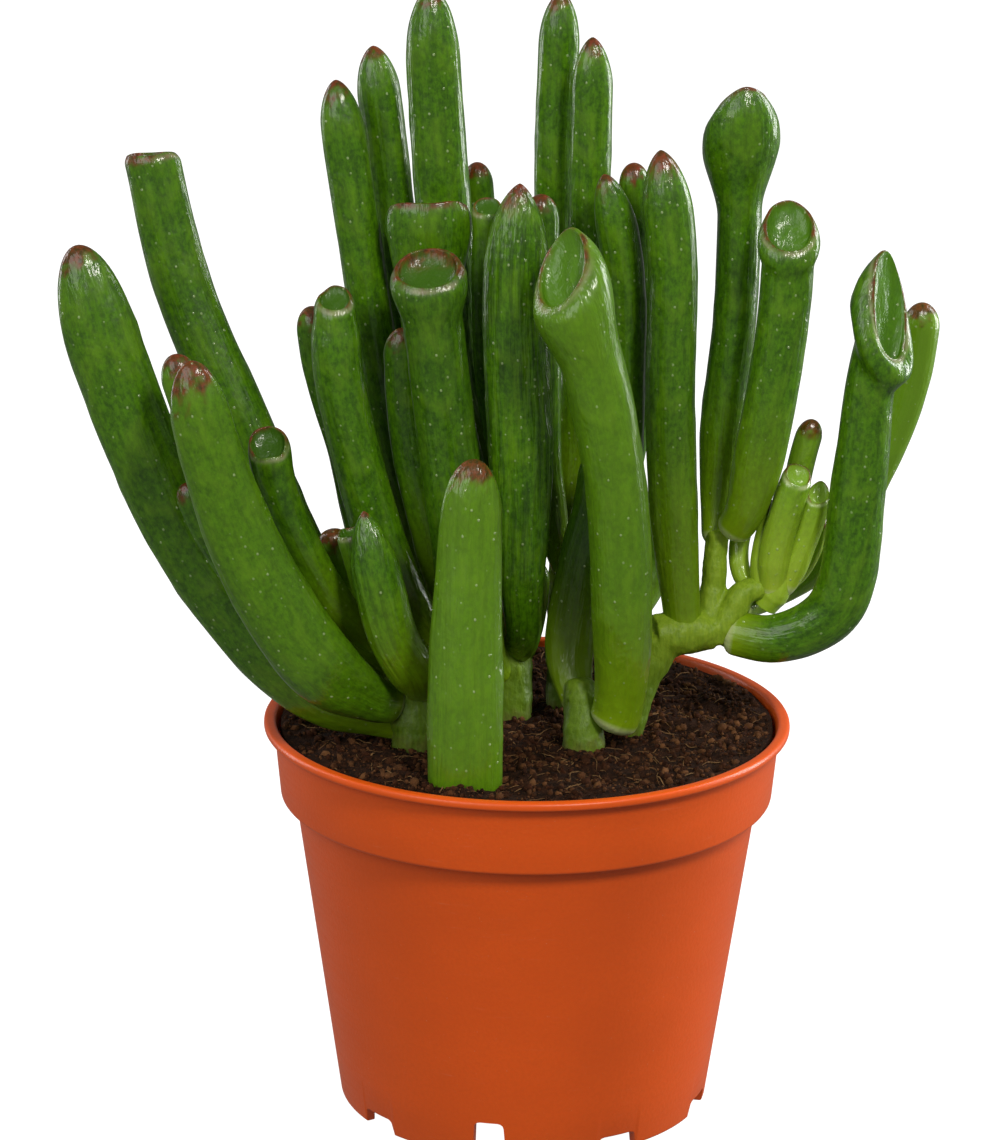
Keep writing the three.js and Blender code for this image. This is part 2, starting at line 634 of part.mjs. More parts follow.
function potGeometry() {
  const inner = (radius) => radius - POT_WALL;
  const slope = (WALL_TOP_RADIUS - BASE_RADIUS) / COLLAR_FOOT_Z;
  const wallAt = (z) => BASE_RADIUS + slope * z;
  const floorTop = FLOOR_Z + POT_WALL;
  const ledge = COLLAR_FOOT_Z + POT_WALL;
  const lipFoot = POT_HEIGHT - LIP_HEIGHT;
  const outline = [
    [0, FLOOR_Z],
    [inner(wallAt(FLOOR_Z)) - FLOOR_CORNER + EDGE_ROUND, FLOOR_Z],
    [BASE_RADIUS - FOOT_RING_WIDTH, 0],
    [BASE_RADIUS - EDGE_ROUND, 0],
    [BASE_RADIUS, EDGE_ROUND],
    [WALL_TOP_RADIUS, COLLAR_FOOT_Z - EDGE_ROUND],
    [WALL_TOP_RADIUS + COLLAR_STEP, COLLAR_FOOT_Z],
    [COLLAR_FOOT_RADIUS - EDGE_ROUND, COLLAR_FOOT_Z],
    [COLLAR_FOOT_RADIUS, COLLAR_FOOT_Z + EDGE_ROUND],
    [COLLAR_TOP_RADIUS, lipFoot],
    [LIP_RADIUS - EDGE_ROUND, lipFoot],
    [LIP_RADIUS, lipFoot + EDGE_ROUND],
    [LIP_RADIUS, POT_HEIGHT - EDGE_ROUND],
    [LIP_RADIUS - EDGE_ROUND, POT_HEIGHT],
    [COLLAR_TOP_RADIUS, POT_HEIGHT],
    [inner(COLLAR_TOP_RADIUS), POT_HEIGHT - LIP_SLOPE],
    [inner(COLLAR_FOOT_RADIUS), ledge],
    [inner(WALL_TOP_RADIUS), ledge - COLLAR_STEP],
    [inner(wallAt(floorTop + FLOOR_CORNER)), floorTop + FLOOR_CORNER],
    [inner(wallAt(floorTop)) - FLOOR_CORNER, floorTop],
    [0, floorTop],
  ];
  return turned(outline, POT_SIDES);
}

// A profile of radius and height turned round the Z axis
function turned(outline, sides) {
  const geometry = new THREE.LatheGeometry(outline.map(([r, z]) => new THREE.Vector2(r, z)), sides);
  return geometry.rotateX(Math.PI / 2);
}

// A notch is a block with a rounded top and sides that open a little downwards
function notchGeometry(width, height) {
  const half = width / 2;
  const round = Math.min(NOTCH_ROUND, height / 2);
  const shape = new THREE.Shape();
  shape.moveTo(-half - NOTCH_FLARE, -1);
  shape.lineTo(half + NOTCH_FLARE, -1);
  shape.lineTo(half, height - round);
  shape.lineTo(half - round, height);
  shape.lineTo(-half + round, height);
  shape.lineTo(-half, height - round);
  shape.closePath();
  const geometry = new THREE.ExtrudeGeometry(shape, { depth: NOTCH_DEPTH, bevelEnabled: false });
  geometry.translate(0, 0, BASE_RADIUS - NOTCH_DEPTH / 2);
  return geometry.rotateX(Math.PI / 2);
}

function potMesh() {
  let solid = toSolid(potGeometry());
  for (let k = 0; k < NOTCH_COUNT; k++) {
    const tall = k % 3 === 0;
    const width = tall ? SLOT_WIDTH : LOW_NOTCH_WIDTH;
    const height = tall ? SLOT_HEIGHT : LOW_NOTCH_HEIGHT;
    const notch = notchGeometry(width, height);
    const turn = NOTCH_START_DEG + (360 / NOTCH_COUNT) * k;
    notch.rotateZ(THREE.MathUtils.degToRad(turn + 90));
    solid = solid.subtract(toSolid(notch));
  }
  for (let k = 0; k < DRAIN_COUNT; k++) {
    const angle = (2 * Math.PI * k) / DRAIN_COUNT;
    const drill = new THREE.CylinderGeometry(DRAIN_RADIUS, DRAIN_RADIUS, 4 * POT_WALL, DRAIN_SIDES);
    drill.rotateX(Math.PI / 2);
    drill.translate(DRAIN_CIRCLE * Math.cos(angle), DRAIN_CIRCLE * Math.sin(angle), FLOOR_Z + POT_WALL / 2);
    solid = solid.subtract(toSolid(drill));
  }
  return namedMesh("pot", solid, POT_ORANGE);
}

// Soil

// The top of the soil is a disc of rings raised by a sum of slow waves
function soilHeight(x, y) {
  const waves = Math.sin(0.21 * x + 0.7) * Math.cos(0.17 * y) + 0.6 * Math.sin(0.33 * y + 0.19 * x + 2.1);
  return SOIL_Z + SOIL_WAVE * waves;
}

function soilGeometry() {
  const slope = (WALL_TOP_RADIUS - BASE_RADIUS) / COLLAR_FOOT_Z;
  const inside = (radius) => radius - POT_WALL - GAP;
  const bottom = FLOOR_Z + POT_WALL + GAP;
  const ledge = COLLAR_FOOT_Z + POT_WALL + GAP;
  const collar = (COLLAR_TOP_RADIUS - COLLAR_FOOT_RADIUS) / (POT_HEIGHT - COLLAR_FOOT_Z);
  const topRadius = inside(COLLAR_FOOT_RADIUS + collar * (SOIL_Z - COLLAR_FOOT_Z));
  const circle = (radius, height) => {
    const points = [];
    for (let k = 0; k < SOIL_SIDES; k++) {
      const angle = (2 * Math.PI * k) / SOIL_SIDES;
      const x = radius * Math.cos(angle);
      const y = radius * Math.sin(angle);
      points.push(new THREE.Vector3(x, y, height ?? soilHeight(x, y)));
    }
    return points;
  };
  const rings = [
    circle(inside(BASE_RADIUS + slope * bottom) - SOIL_CORNER, bottom),
    circle(inside(BASE_RADIUS + slope * (bottom + SOIL_CORNER)) - GAP, bottom + SOIL_CORNER),
    circle(inside(WALL_TOP_RADIUS) - GAP, ledge - COLLAR_STEP),
    circle(inside(COLLAR_FOOT_RADIUS) - GAP, ledge + EDGE_ROUND),
  ];
  for (let k = 0; k < SOIL_RINGS; k++) rings.push(circle(topRadius * (1 - k / SOIL_RINGS)));
  return skin(new THREE.Vector3(0, 0, bottom), rings, new THREE.Vector3(0, 0, soilHeight(0, 0)));
}

function soilMesh() {
  let solid = toSolid(soilGeometry()).subtract(grownStems(Object.keys(STEMS)));
  solid = solid.subtract(toSolid(leafGeometry(LEAVES.leaf_front_short, GAP)));
  return namedMesh("soil", solid, SOIL_BROWN);
}

// The whole plant

const plant = new THREE.Group();
plant.add(potMesh(), soilMesh());
for (const [name, stem] of Object.entries(STEMS)) plant.add(namedMesh(name, stemSolid(stem), STEM_GREEN));
for (const [name, leaf] of Object.entries(LEAVES)) plant.add(leafMesh(name, leaf));
plant.add(shootMesh());

const outerBox = new THREE.Box3().setFromObject(plant, true);
const middle = outerBox.getCenter(new THREE.Vector3());
plant.position.set(-middle.x, -middle.y, 0);

export default plant;
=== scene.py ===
"""Finger-leaved jade plant in a round nursery pot: the fine surfaces, finishes and studio.

Sizes in the tables are millimetres from the pot's axis, with Z up from the plane it stands on.
"""
import math
from typing import NamedTuple

import bpy
import numpy as np
from bpy.props import FloatProperty, FloatVectorProperty, IntProperty, PointerProperty
from mathutils import Matrix, Vector


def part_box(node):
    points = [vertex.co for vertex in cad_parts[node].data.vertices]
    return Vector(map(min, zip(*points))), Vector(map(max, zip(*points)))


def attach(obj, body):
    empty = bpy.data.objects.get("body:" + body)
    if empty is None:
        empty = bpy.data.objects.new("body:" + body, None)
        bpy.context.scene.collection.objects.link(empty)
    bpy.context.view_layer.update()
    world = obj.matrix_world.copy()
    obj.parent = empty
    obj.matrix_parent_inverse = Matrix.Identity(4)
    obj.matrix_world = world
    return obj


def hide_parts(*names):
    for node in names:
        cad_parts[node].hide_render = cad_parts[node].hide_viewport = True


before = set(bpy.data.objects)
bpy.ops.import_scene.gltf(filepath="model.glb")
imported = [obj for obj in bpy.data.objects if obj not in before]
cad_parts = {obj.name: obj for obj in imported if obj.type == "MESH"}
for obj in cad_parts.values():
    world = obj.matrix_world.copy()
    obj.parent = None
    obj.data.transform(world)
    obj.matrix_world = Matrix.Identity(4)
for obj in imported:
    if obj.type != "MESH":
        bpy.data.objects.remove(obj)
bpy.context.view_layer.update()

bl_info = {
    "name": "Potted finger-leaved jade plant",
    "version": (1, 0, 0),
    "blender": (4, 5, 0),
    "location": "View3D > Sidebar > Plant",
    "description": "Builds the pot, soil, stems, leaves and studio of a potted jade plant",
    "category": "Object",
}

MM = 0.001
POT_LOW, POT_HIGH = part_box("pot")
LIP_RADIUS_MM = 60.0

# The pot's axis in the frame: its many-sided lip touches its box at the front
AXIS = np.array([(POT_LOW[0] + POT_HIGH[0]) / 2, POT_LOW[1] + LIP_RADIUS_MM * MM, POT_LOW[2]])

# Each limb of a stem is a path and the radius at its points.
STEMS = {
    "stem_left": [
        ([(-25, -17, 78), (-25, -16.5, 90), (-24.8, -14.5, 101), (-24.5, -12.5, 110)],
         [5, 5.4, 4.6, 3.4]),
        ([(-25, -16.5, 92), (-29, -14.5, 100), (-33, -12.5, 108)],
         [4.6, 4.4, 3.4]),
    ],
    "stem_centre_left": [
        ([(-15, -1, 78), (-16.5, 1, 98), (-19.5, 5, 119)],
         [5.2, 5, 3.6]),
    ],
    "stem_centre": [
        ([(-4, 3, 78), (-4.5, 5.5, 105), (-5.5, 8.5, 134)],
         [5.6, 5.4, 3.8]),
    ],
    "stem_back": [
        ([(10, 10, 78), (9.5, 12, 108), (8.5, 14, 133)],
         [5.4, 5.2, 3.8]),
    ],
    "stem_front": [
        ([(12.5, -19.5, 78), (12.8, -18.5, 90), (12, -14, 103)],
         [4.6, 4.8, 3.6]),
    ],
    "stem_right": [
        ([(23, -11, 78), (23.8, -11, 91), (25.6, -8.7, 101), (29.5, -6.5, 110.5)],
         [2.6, 2.6, 3.6, 5]),
        ([(28.6, -6.6, 112), (35, -5.2, 112.6), (41, -4, 113)],
         [5.2, 5, 4.5]),
        ([(40.5, -4, 112), (41.7, -1.5, 120), (42.6, 1.5, 134)],
         [3.8, 2.7, 2.6]),
        ([(41.5, -4, 111.5), (45.5, -3.8, 116.5), (49, -2.6, 121.5), (53.5, -1, 122)],
         [4, 3.5, 3.1, 2.6]),
    ],
}


class Cup(NamedTuple):
    """The hollow tip of a leaf, in millimetres."""
    mouth: float  # angle round the leaf of the lowest part of its rim, in degrees
    slant: float  # how much lower that part is than the highest
    flare: float  # how many times wider the leaf grows towards the rim
    flare_length: float  # length over which it does
    depth: float  # depth of the bowl
    dome: float  # share of its width that the rim curls in by
    roll: float  # length over which it curls in


class Leaf(NamedTuple):
    """A finger leaf, in millimetres. Angles round it start at the left, as one looks at its front,
    and pass the front."""
    width: float  # full width, across its front
    thick: float  # full thickness, from front to back
    path: list  # places along its middle, from foot to tip
    nose: float = 0  # length over which a closed tip narrows, or 0 for a share of the width
    point: float = 0.5  # power of the nose's curve: 0.5 is round, and more is sharper
    foot: float = 0.62  # size at the foot, as a share of the full size
    swell: float = 0.3  # share of the length over which it swells to its full size
    taper: float = 1  # size at the tip, as a share of the full size
    facing: float = -90  # direction that its front faces, in degrees round the pot
    tone: float = 0.0  # from -1, dark, to 1, pale
    red: float = 0  # length of the red at the nose or rim, or 0 for the usual length
    lip: float = 1.0  # strength of the pale painted highlight just outside a cup's rim
    shade: float = 1.0  # how strongly the inside of a cup takes its own colour and, in its bowl, painted shade
    sun: float = 60  # angle round the leaf at which its nose is reddest, in degrees
    lines: float = 0.25  # strength of its lengthwise wrinkles
    pale: float = 42  # how far from the foot its paler colour reaches
    cup: Cup = None


LEAVES = {
    "leaf_left_outer": Leaf(16.6, 9.6, [
        (-26, -14.6, 94.2), (-35, -14.9, 96.4), (-44, -15.6, 99), (-53, -15.2, 105.6),
        (-74.8, -12.5, 133.2), (-91.7, -11, 173.5), (-99.8, -9, 201.2)],
        nose=22, foot=0.6, tone=0.1, red=4.5, sun=0),
    "leaf_left_tall": Leaf(13.7, 9, [
        (-26, -11, 103), (-36.4, -3, 107.5), (-48, 2.5, 119.5), (-64.4, 6, 156), (-78.2, 11, 188),
        (-85.5, 14, 218.4)],
        foot=0.55, taper=0.93, tone=-0.15, red=2.4, cup=Cup(170, 2, 1, 14, 2.5, 0.12, 2.5)),
    "leaf_left_front": Leaf(16.8, 9.5, [
        (-28.3, -17.2, 98.4), (-34.6, -25, 102.8), (-45.3, -33.2, 113.2), (-60.5, -38, 140),
        (-69, -40, 165.5), (-72.5, -40, 183)],
        nose=15, foot=0.5, taper=0.76, tone=0.3, red=6.5, sun=40, pale=6),
    "leaf_left_peeping": Leaf(8.5, 5, [
        (-30.8, -14.2, 106.3), (-38, -21.5, 110.2), (-46.2, -26, 117), (-61.2, -27, 139.5),
        (-71, -27, 162), (-77.3, -26, 181)]),
    "leaf_left_small": Leaf(6.5, 4.5, [
        (-31, -13, 103.5), (-36.5, -15.6, 105.1), (-43, -18.8, 109.7), (-58.8, -21, 122),
        (-70, -20.7, 138), (-76, -20.3, 150.5)]),
    "leaf_left_sucker": Leaf(9, 8, [
        (-33.3, -12.7, 110), (-37.3, -15.5, 115.5), (-42.8, -19, 122.5), (-49.2, -22.5, 135),
        (-54.8, -25, 149.5), (-57.3, -26, 163.8)], foot=0.7, cup=Cup(90, 5, 1.05, 8, 2.5, 0.1, 2.5)),
    "leaf_left_blunt": Leaf(7, 5.5, [
        (-32.5, -11, 108.5), (-35, -8.2, 113), (-39.5, -8, 121), (-42.3, -11, 130), (-44, -12.5, 138)],
        nose=3, point=0.4),
    "leaf_left_bud": Leaf(6.3, 5.5, [
        (-25, -14.5, 104), (-29.5, -19.3, 113), (-34.5, -21.5, 124), (-37.5, -21.5, 133),
        (-39.5, -20.5, 141)], lines=0.8, cup=Cup(90, 2, 1.05, 5, 1.6, 0.1, 1.5)),
    "leaf_left_pointed": Leaf(11, 7.2, [
        (-23.5, -15.7, 100.6), (-24.6, -24.2, 107.5), (-29.4, -28.7, 118), (-33, -29.5, 132),
        (-36, -28.5, 147)], nose=16, point=0.75, red=1.2, lines=0.5),
    "leaf_front_short": Leaf(16.4, 9.5, [
        (-13.5, -44, 79), (-13.3, -43, 104), (-13.2, -41, 124), (-12.8, -39, 142.5), (-11.8, -38, 161.5)],
        foot=0.95, taper=0.78, tone=0.5, red=4.0, lines=0.4, pale=4),
    "leaf_mid_far_left": Leaf(7.8, 6, [
        (-17.5, 2.5, 107), (-25.5, 5, 112.5), (-35.6, 5, 127.5), (-41.6, 2, 153), (-46.5, 1, 170),
        (-49.1, 1, 185.8)]),
    "leaf_mid_cup_left": Leaf(11.2, 8.5, [
        (-16.5, 0.5, 103), (-22, -3, 110.5), (-29.3, -7.5, 124), (-37.2, -9.5, 150), (-42, -10, 171.5),
        (-43.3, -9, 192)], foot=0.6, cup=Cup(90, 4, 0.84, 10, 2, 0.2, 3.5)),
    "leaf_tall_left": Leaf(9.8, 8, [
        (-19.3, 4.5, 117), (-24, 3.5, 129), (-27.8, 5.5, 142), (-34.7, 9, 175), (-39.7, 10, 208),
        (-43.8, 11, 234.8)], nose=13, point=0.6),
    "leaf_tall_left_back": Leaf(9.8, 8, [
        (-18.5, 4, 112), (-19.5, 13, 122), (-24.5, 17.5, 153.5), (-29.3, 20, 185.5), (-32.8, 22, 217),
        (-36, 23, 240.5)], nose=12, point=0.6),
    "leaf_mid_hidden_left": Leaf(8.5, 5.4, [
        (-18.3, 3, 113), (-19.5, -3, 123), (-22, -5, 135), (-26, -5, 152), (-28, -5, 168),
        (-28.5, -5, 182.5)]),
    "leaf_tall_centre": Leaf(13, 9.5, [
        (-5.5, 8.5, 131), (-10, 10.5, 145), (-15, 13.5, 162), (-19, 15, 196.5), (-21.5, 15, 228),
        (-23, 15, 255.2)], nose=16, point=0.62, taper=0.92, red=3.0),
    "leaf_wide_cup": Leaf(14, 8, [
        (-5, 6.5, 114), (-9.5, 3, 126), (-15, 2.5, 141), (-19.5, 3, 160), (-22.5, 3.5, 185),
        (-23, 3.5, 210)], foot=0.5, red=1.5, cup=Cup(270, 3, 1.38, 22, 4, 0.12, 5)),
    "leaf_sucker_front": Leaf(13.2, 10, [
        (-5.8, 3.5, 98), (-9.5, -5, 107), (-13.2, -11.5, 123), (-18, -14, 157.5), (-20.8, -15, 180),
        (-23, -15, 201.6)], foot=0.55, tone=-0.25, red=1.7, cup=Cup(90, 7, 1.28, 13, 4, 0.12, 3.5)),
    "leaf_small_back": Leaf(6.8, 6, [
        (-5.3, 8, 124), (-5.5, 18, 138), (-8, 23, 160), (-10.2, 25, 182.5), (-11.6, 25, 201),
        (-12.7, 25, 214)]),
    "leaf_small_cup": Leaf(6, 5, [
        (-4.7, 7.5, 122), (-1.5, 0.5, 132), (-4.5, -0.8, 146), (-8.8, -0.5, 165), (-10.3, 1, 190),
        (-9.8, 3, 209.8)], cup=Cup(90, 3, 1.15, 6, 1.5, 0.1, 1.5)),
    "leaf_centre_broad": Leaf(14.8, 9, [
        (-3.7, 4.5, 104.5), (-1.2, -2.5, 110), (-1.3, -7.5, 122), (-2, -9, 155), (-3.5, -8, 189.5),
        (-2.7, -7, 215.5)], nose=20, point=0.7, foot=0.5, swell=0.55, red=4.0, lines=0.6, pale=12),
    "leaf_centre_behind": Leaf(8.3, 6, [
        (9, 12.5, 119), (6, 7.5, 131), (3.3, 5, 148), (2.6, 4, 172.5), (2, 4, 193), (2, 4, 211)],
        tone=-0.2),
    "leaf_tall_right_back": Leaf(9.3, 7.5, [
        (8.8, 14, 125), (8.3, 22, 139.5), (7.3, 24, 159.5), (5.5, 25.5, 189.5), (5, 26, 221.5),
        (6, 26, 252.5)], nose=12, point=0.62),
    "leaf_tall_right": Leaf(9.2, 7.5, [
        (8.7, 13.8, 130), (9.7, 12.5, 145), (10.5, 13, 157.5), (12, 15, 187), (13, 16, 219), (13, 16, 244)],
        nose=12, point=0.62),
    "leaf_right_leaning": Leaf(9.2, 7, [
        (9.5, 12, 110), (15, 6, 122), (19.7, 4, 138), (21.2, 2, 171), (20.1, 2, 196.5), (15.8, 2, 216)],
        nose=13, point=0.6),
    "leaf_right_small": Leaf(7, 6, [
        (9, 13, 116), (17.5, 13, 131), (23, 13, 150.5), (24, 13, 173.5), (23.5, 13, 196.5),
        (22.5, 13, 216.5)]),
    "leaf_low_dark": Leaf(11.8, 7, [
        (12.3, -16, 97), (9.7, -9.5, 106), (10, -7, 114), (12.6, -7, 130), (15.9, -7, 144),
        (17.6, -7, 157.5)], tone=-0.6, red=0.5),
    "leaf_low_thin": Leaf(6.6, 5, [
        (-4.2, 5, 98), (-0.5, 7, 107), (1, 7, 114), (1.5, 6.5, 120), (1.5, 6, 126)]),
    "leaf_front_oblique": Leaf(13.6, 11, [
        (18.3, -20, 94.2), (20, -20.3, 98.5), (21, -22, 107), (20.7, -25, 123.5), (18.4, -27, 156.5),
        (11.5, -27, 186.5), (4.2, -25, 207.3)],
        foot=0.82, tone=0.45, shade=0.6, cup=Cup(52, 14, 1.36, 24, 5, 0.26, 7)),
    "leaf_right_straight": Leaf(11, 9, [
        (35.2, -5, 111.8), (32.5, -7, 139.5), (30.9, -8, 169.5), (30.9, -7, 198.5), (27.8, -6, 223)],
        nose=15, point=0.66, foot=0.76, tone=0.1, red=5.0, pale=60),
    "leaf_flared_paddle": Leaf(9.8, 8, [
        (42.2, 1.5, 131), (42.4, 5.5, 143), (43.3, 6.5, 159.5), (45.6, 7, 185), (46.1, 8, 209.5),
        (45.9, 8, 235)], red=1.0, cup=Cup(287, 10, 1.76, 27, 4, 0.34, 9)),
    "leaf_right_cup": Leaf(11.5, 9, [
        (44.9, -1, 134.3), (48.1, -4, 140.6), (50.8, -5.5, 152), (54.3, -6, 175), (56.1, -6, 193.5),
        (56.3, -6, 211.4)], foot=0.7, tone=0.1, shade=0.6, cup=Cup(90, 10, 1.2, 10, 4, 0.18, 5)),
    "leaf_right_hook": Leaf(13, 9.5, [
        (44, -4, 112.8), (56.5, -7, 112.2), (68.8, -9, 120.3), (73.3, -9, 149.5), (75.8, -9, 177),
        (81.4, -8, 200)],
        foot=0.78, taper=0.8, red=0.8, lip=2.5, shade=0.6, pale=14,
        cup=Cup(138, 22, 1.62, 19, 4.5, 0.31, 9)),
    "leaf_right_behind": Leaf(8.3, 7, [
        (47, -1.9, 117.4), (54, 6, 117.5), (66, 9, 125.5), (79.2, 9.5, 148.5), (85.8, 10, 168),
        (88, 10, 186)], nose=6, tone=0.9),
    "leaf_back_left": Leaf(11, 8.5, [
        (-17.3, 3, 105.5), (-19, 12, 110), (-23, 29, 128), (-26, 41, 148), (-28, 46, 168), (-28, 48, 184)],
        facing=90),
    "leaf_back_centre": Leaf(12, 9, [
        (-5, 7, 113), (-6, 33, 132), (-8, 44, 150), (-9, 49, 167), (-9, 50, 181)],
        facing=90, cup=Cup(90, 8, 1.2, 12, 4, 0.12, 4)),
    "leaf_back_right": Leaf(11, 8.5, [
        (9.5, 12.5, 113), (17, 35, 129), (21, 44, 147), (24, 48, 164), (24, 49, 179)], facing=90),
    "leaf_back_far_right": Leaf(10, 8, [
        (9.7, 11, 103), (25, 24, 112), (31, 30, 126), (33.4, 34, 145), (33.4, 35, 162)], facing=60),
    "leaf_back_low_left": Leaf(10, 8, [
        (-16.4, 1.5, 97.5), (-30, 22, 108), (-35, 30, 124), (-37, 34, 140), (-37, 35, 154)],
        facing=120, cup=Cup(90, 6, 1.15, 9, 3, 0.12, 3)),
    "leaf_back_low": Leaf(11, 8, [
        (-4.3, 5, 98), (-3, 34, 101), (-2, 46, 110), (-1, 51, 121), (-1, 53, 133)], facing=90),
}

SHOOT_STALK = ([(53.5, -1, 118), (56, -1.5, 122), (57, -1.5, 126)],
               [3, 3.4, 2.8])
SHOOT_LEAVES = [
    Leaf(7.4, 6, [
        (55, -2.5, 119.5), (55.6, -3.2, 132), (57.8, -3.8, 142), (60.6, -4, 151.5)],
        cup=Cup(90, 4, 0.95, 6, 1.6, 0.15, 2.5)),
    Leaf(6, 5.4, [
        (57.5, -2, 120.5), (60.8, -2.2, 130), (63.6, -2.5, 139), (65.4, -2.5, 147)],
        cup=Cup(90, 4, 0.95, 5, 1.4, 0.15, 2)),
    Leaf(6, 4.6, [
        (57, 0, 122), (59, 2, 137), (61, 2, 150.5), (63.5, 2, 160.8)]),
    Leaf(3.8, 3.4, [
        (58, 0, 121), (62.8, 0.5, 127.5), (65, 0.5, 133), (66, 0.5, 138.5)]),
    Leaf(4.4, 3.8, [
        (54, -1.5, 119), (52.2, -1.5, 125.5), (52.8, -1, 133), (55.4, 0, 142.5)]),
    Leaf(4.6, 3.6, [
        (53.5, -0.5, 119.5), (48.6, 1.5, 124), (47.6, 3.8, 129.5), (49.5, 7, 137.5)]),
]


# Numbers and colours

def linear(hex_colour):
    """An sRGB hex colour as linear red, green, blue and 1."""
    parts = [int(hex_colour[i:i + 2], 16) / 255 for i in (1, 3, 5)]
    return [p / 12.92 if p <= 0.04045 else ((p + 0.055) / 1.055) ** 2.4 for p in parts] + [1.0]


def smooth(low, high, x):
    """0 below low, 1 above high, and three times t squared less twice t cubed between them."""
    t = np.clip((np.asarray(x, float) - low) / (high - low), 0, 1)
    return t * t * (3 - 2 * t)


def lattice(cells, seed):
    """A number from -1 to 1 for each whole-number cell, mixed from its three indices and the seed."""
    x, y, z = (cells[..., k].astype(np.int64) for k in range(3))
    h = x * 374761393 + y * 668265263 + z * 1103515245 + seed * 144665921
    h = (h ^ (h >> 13)) * 1274126177
    return ((h ^ (h >> 16)) & 0xFFFF) / 32767.5 - 1


def noise(points, size, seed):
    """Soft random values from -1 to 1: the lattice numbers of the eight corners round each point,
    blended by smooth steps. size is the width of a cell, one number or three."""
    p = np.asarray(points, float) / size
    cell = np.floor(p)
    t = p - cell
    t = t * t * (3 - 2 * t)
    total = np.zeros(p.shape[:-1])
    for corner in np.ndindex(2, 2, 2):
        weight = np.prod(np.where(corner, t, 1 - t), axis=-1)
        total += weight * lattice(cell + corner, seed)
    return total


def place(points):
    """Millimetres from the pot's axis as metres in the frame."""
    return np.asarray(points, float) * MM + AXIS


# Meshes

def put_mesh(name, skin, material):
    """Makes an object from a skin: points in millimetres from the pot's axis, corner numbers of its
    four-sided and three-sided faces, and named values, one number or three for each point."""
    points, quads, tris, values = skin
    mesh = bpy.data.meshes.new(name)
    corners = np.concatenate([np.ravel(quads), np.ravel(tris)]).astype(np.int32)
    counts = np.concatenate([np.full(len(quads), 4), np.full(len(tris), 3)])
    starts = np.concatenate([[0], np.cumsum(counts)[:-1]]).astype(np.int32)
    mesh.vertices.add(len(points))
    mesh.vertices.foreach_set("co", place(points).ravel().astype(np.float32))
    mesh.loops.add(len(corners))
    mesh.loops.foreach_set("vertex_index", corners)
    mesh.polygons.add(len(counts))
    mesh.polygons.foreach_set("loop_start", starts)
    mesh.update(calc_edges=True)
    if mesh.validate():
        raise RuntimeError(f"{name} has faces that are not sound")
    for key, array in values.items():
        vector = np.ndim(array) == 2
        made = mesh.attributes.new(key, "FLOAT_VECTOR" if vector else "FLOAT", "POINT")
        made.data.foreach_set("vector" if vector else "value", np.ravel(array).astype(np.float32))
    mesh.shade_smooth()
    mesh.materials.append(material)
    piece = bpy.data.objects.new(name, mesh)
    bpy.context.scene.collection.objects.link(piece)
    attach(piece, "root")
    return piece


def tube_faces(rows, columns):
    """Faces of rows of points that close round: quads between rows, and a fan at each pole.
    The poles are the two points after the rows."""
    grid = np.arange(rows * columns).reshape(rows, columns)
    turned = np.roll(grid, -1, axis=1)
    quads = np.stack([grid[:-1], turned[:-1], turned[1:], grid[1:]], axis=-1).reshape(-1, 4)
    low = np.full(columns, rows * columns)
    start = np.stack([low, turned[0], grid[0]], axis=-1)
    end = np.stack([low + 1, grid[-1], turned[-1]], axis=-1)
    return quads, np.concatenate([start, end])


def circle(count):
    """Angles of even steps once round."""
    return 2 * math.pi * np.arange(count) / count


def turned_skin(radius, z, angle, low, high):
    """Points and faces of rows of radius and height turned round the axis, closed by poles on the
    axis at the heights low and high."""
    points = np.stack([radius * np.cos(angle), radius * np.sin(angle), z], -1).reshape(-1, 3)
    return np.vstack([points, [[0, 0, low], [0, 0, high]]]), *tube_faces(len(radius), len(angle))


def join(parts):
    """Joins skins in one, with the corner numbers moved on."""
    points, quads, tris, start = [], [], [], 0
    for part in parts:
        points.append(part[0])
        quads.append(part[1] + start)
        tris.append(part[2] + start)
        start += len(part[0])
    values = {key: np.concatenate([part[3][key] for part in parts]) for key in parts[0][3]}
    return np.concatenate(points), np.concatenate(quads), np.concatenate(tris), values


def applied(piece, *modifiers):
    """Adds modifiers, each a type and its settings, and keeps what they make as the mesh."""
    for kind, settings in modifiers:
        modifier = piece.modifiers.new(kind.lower(), kind)
        for key, value in settings.items():
            setattr(modifier, key, value)
    shaped = piece.evaluated_get(bpy.context.evaluated_depsgraph_get())
    mesh = bpy.data.meshes.new_from_object(shaped)
    piece.modifiers.clear()
    old, piece.data = piece.data, mesh
    bpy.data.meshes.remove(old)
    return mesh


# Paths

STEPS = 60


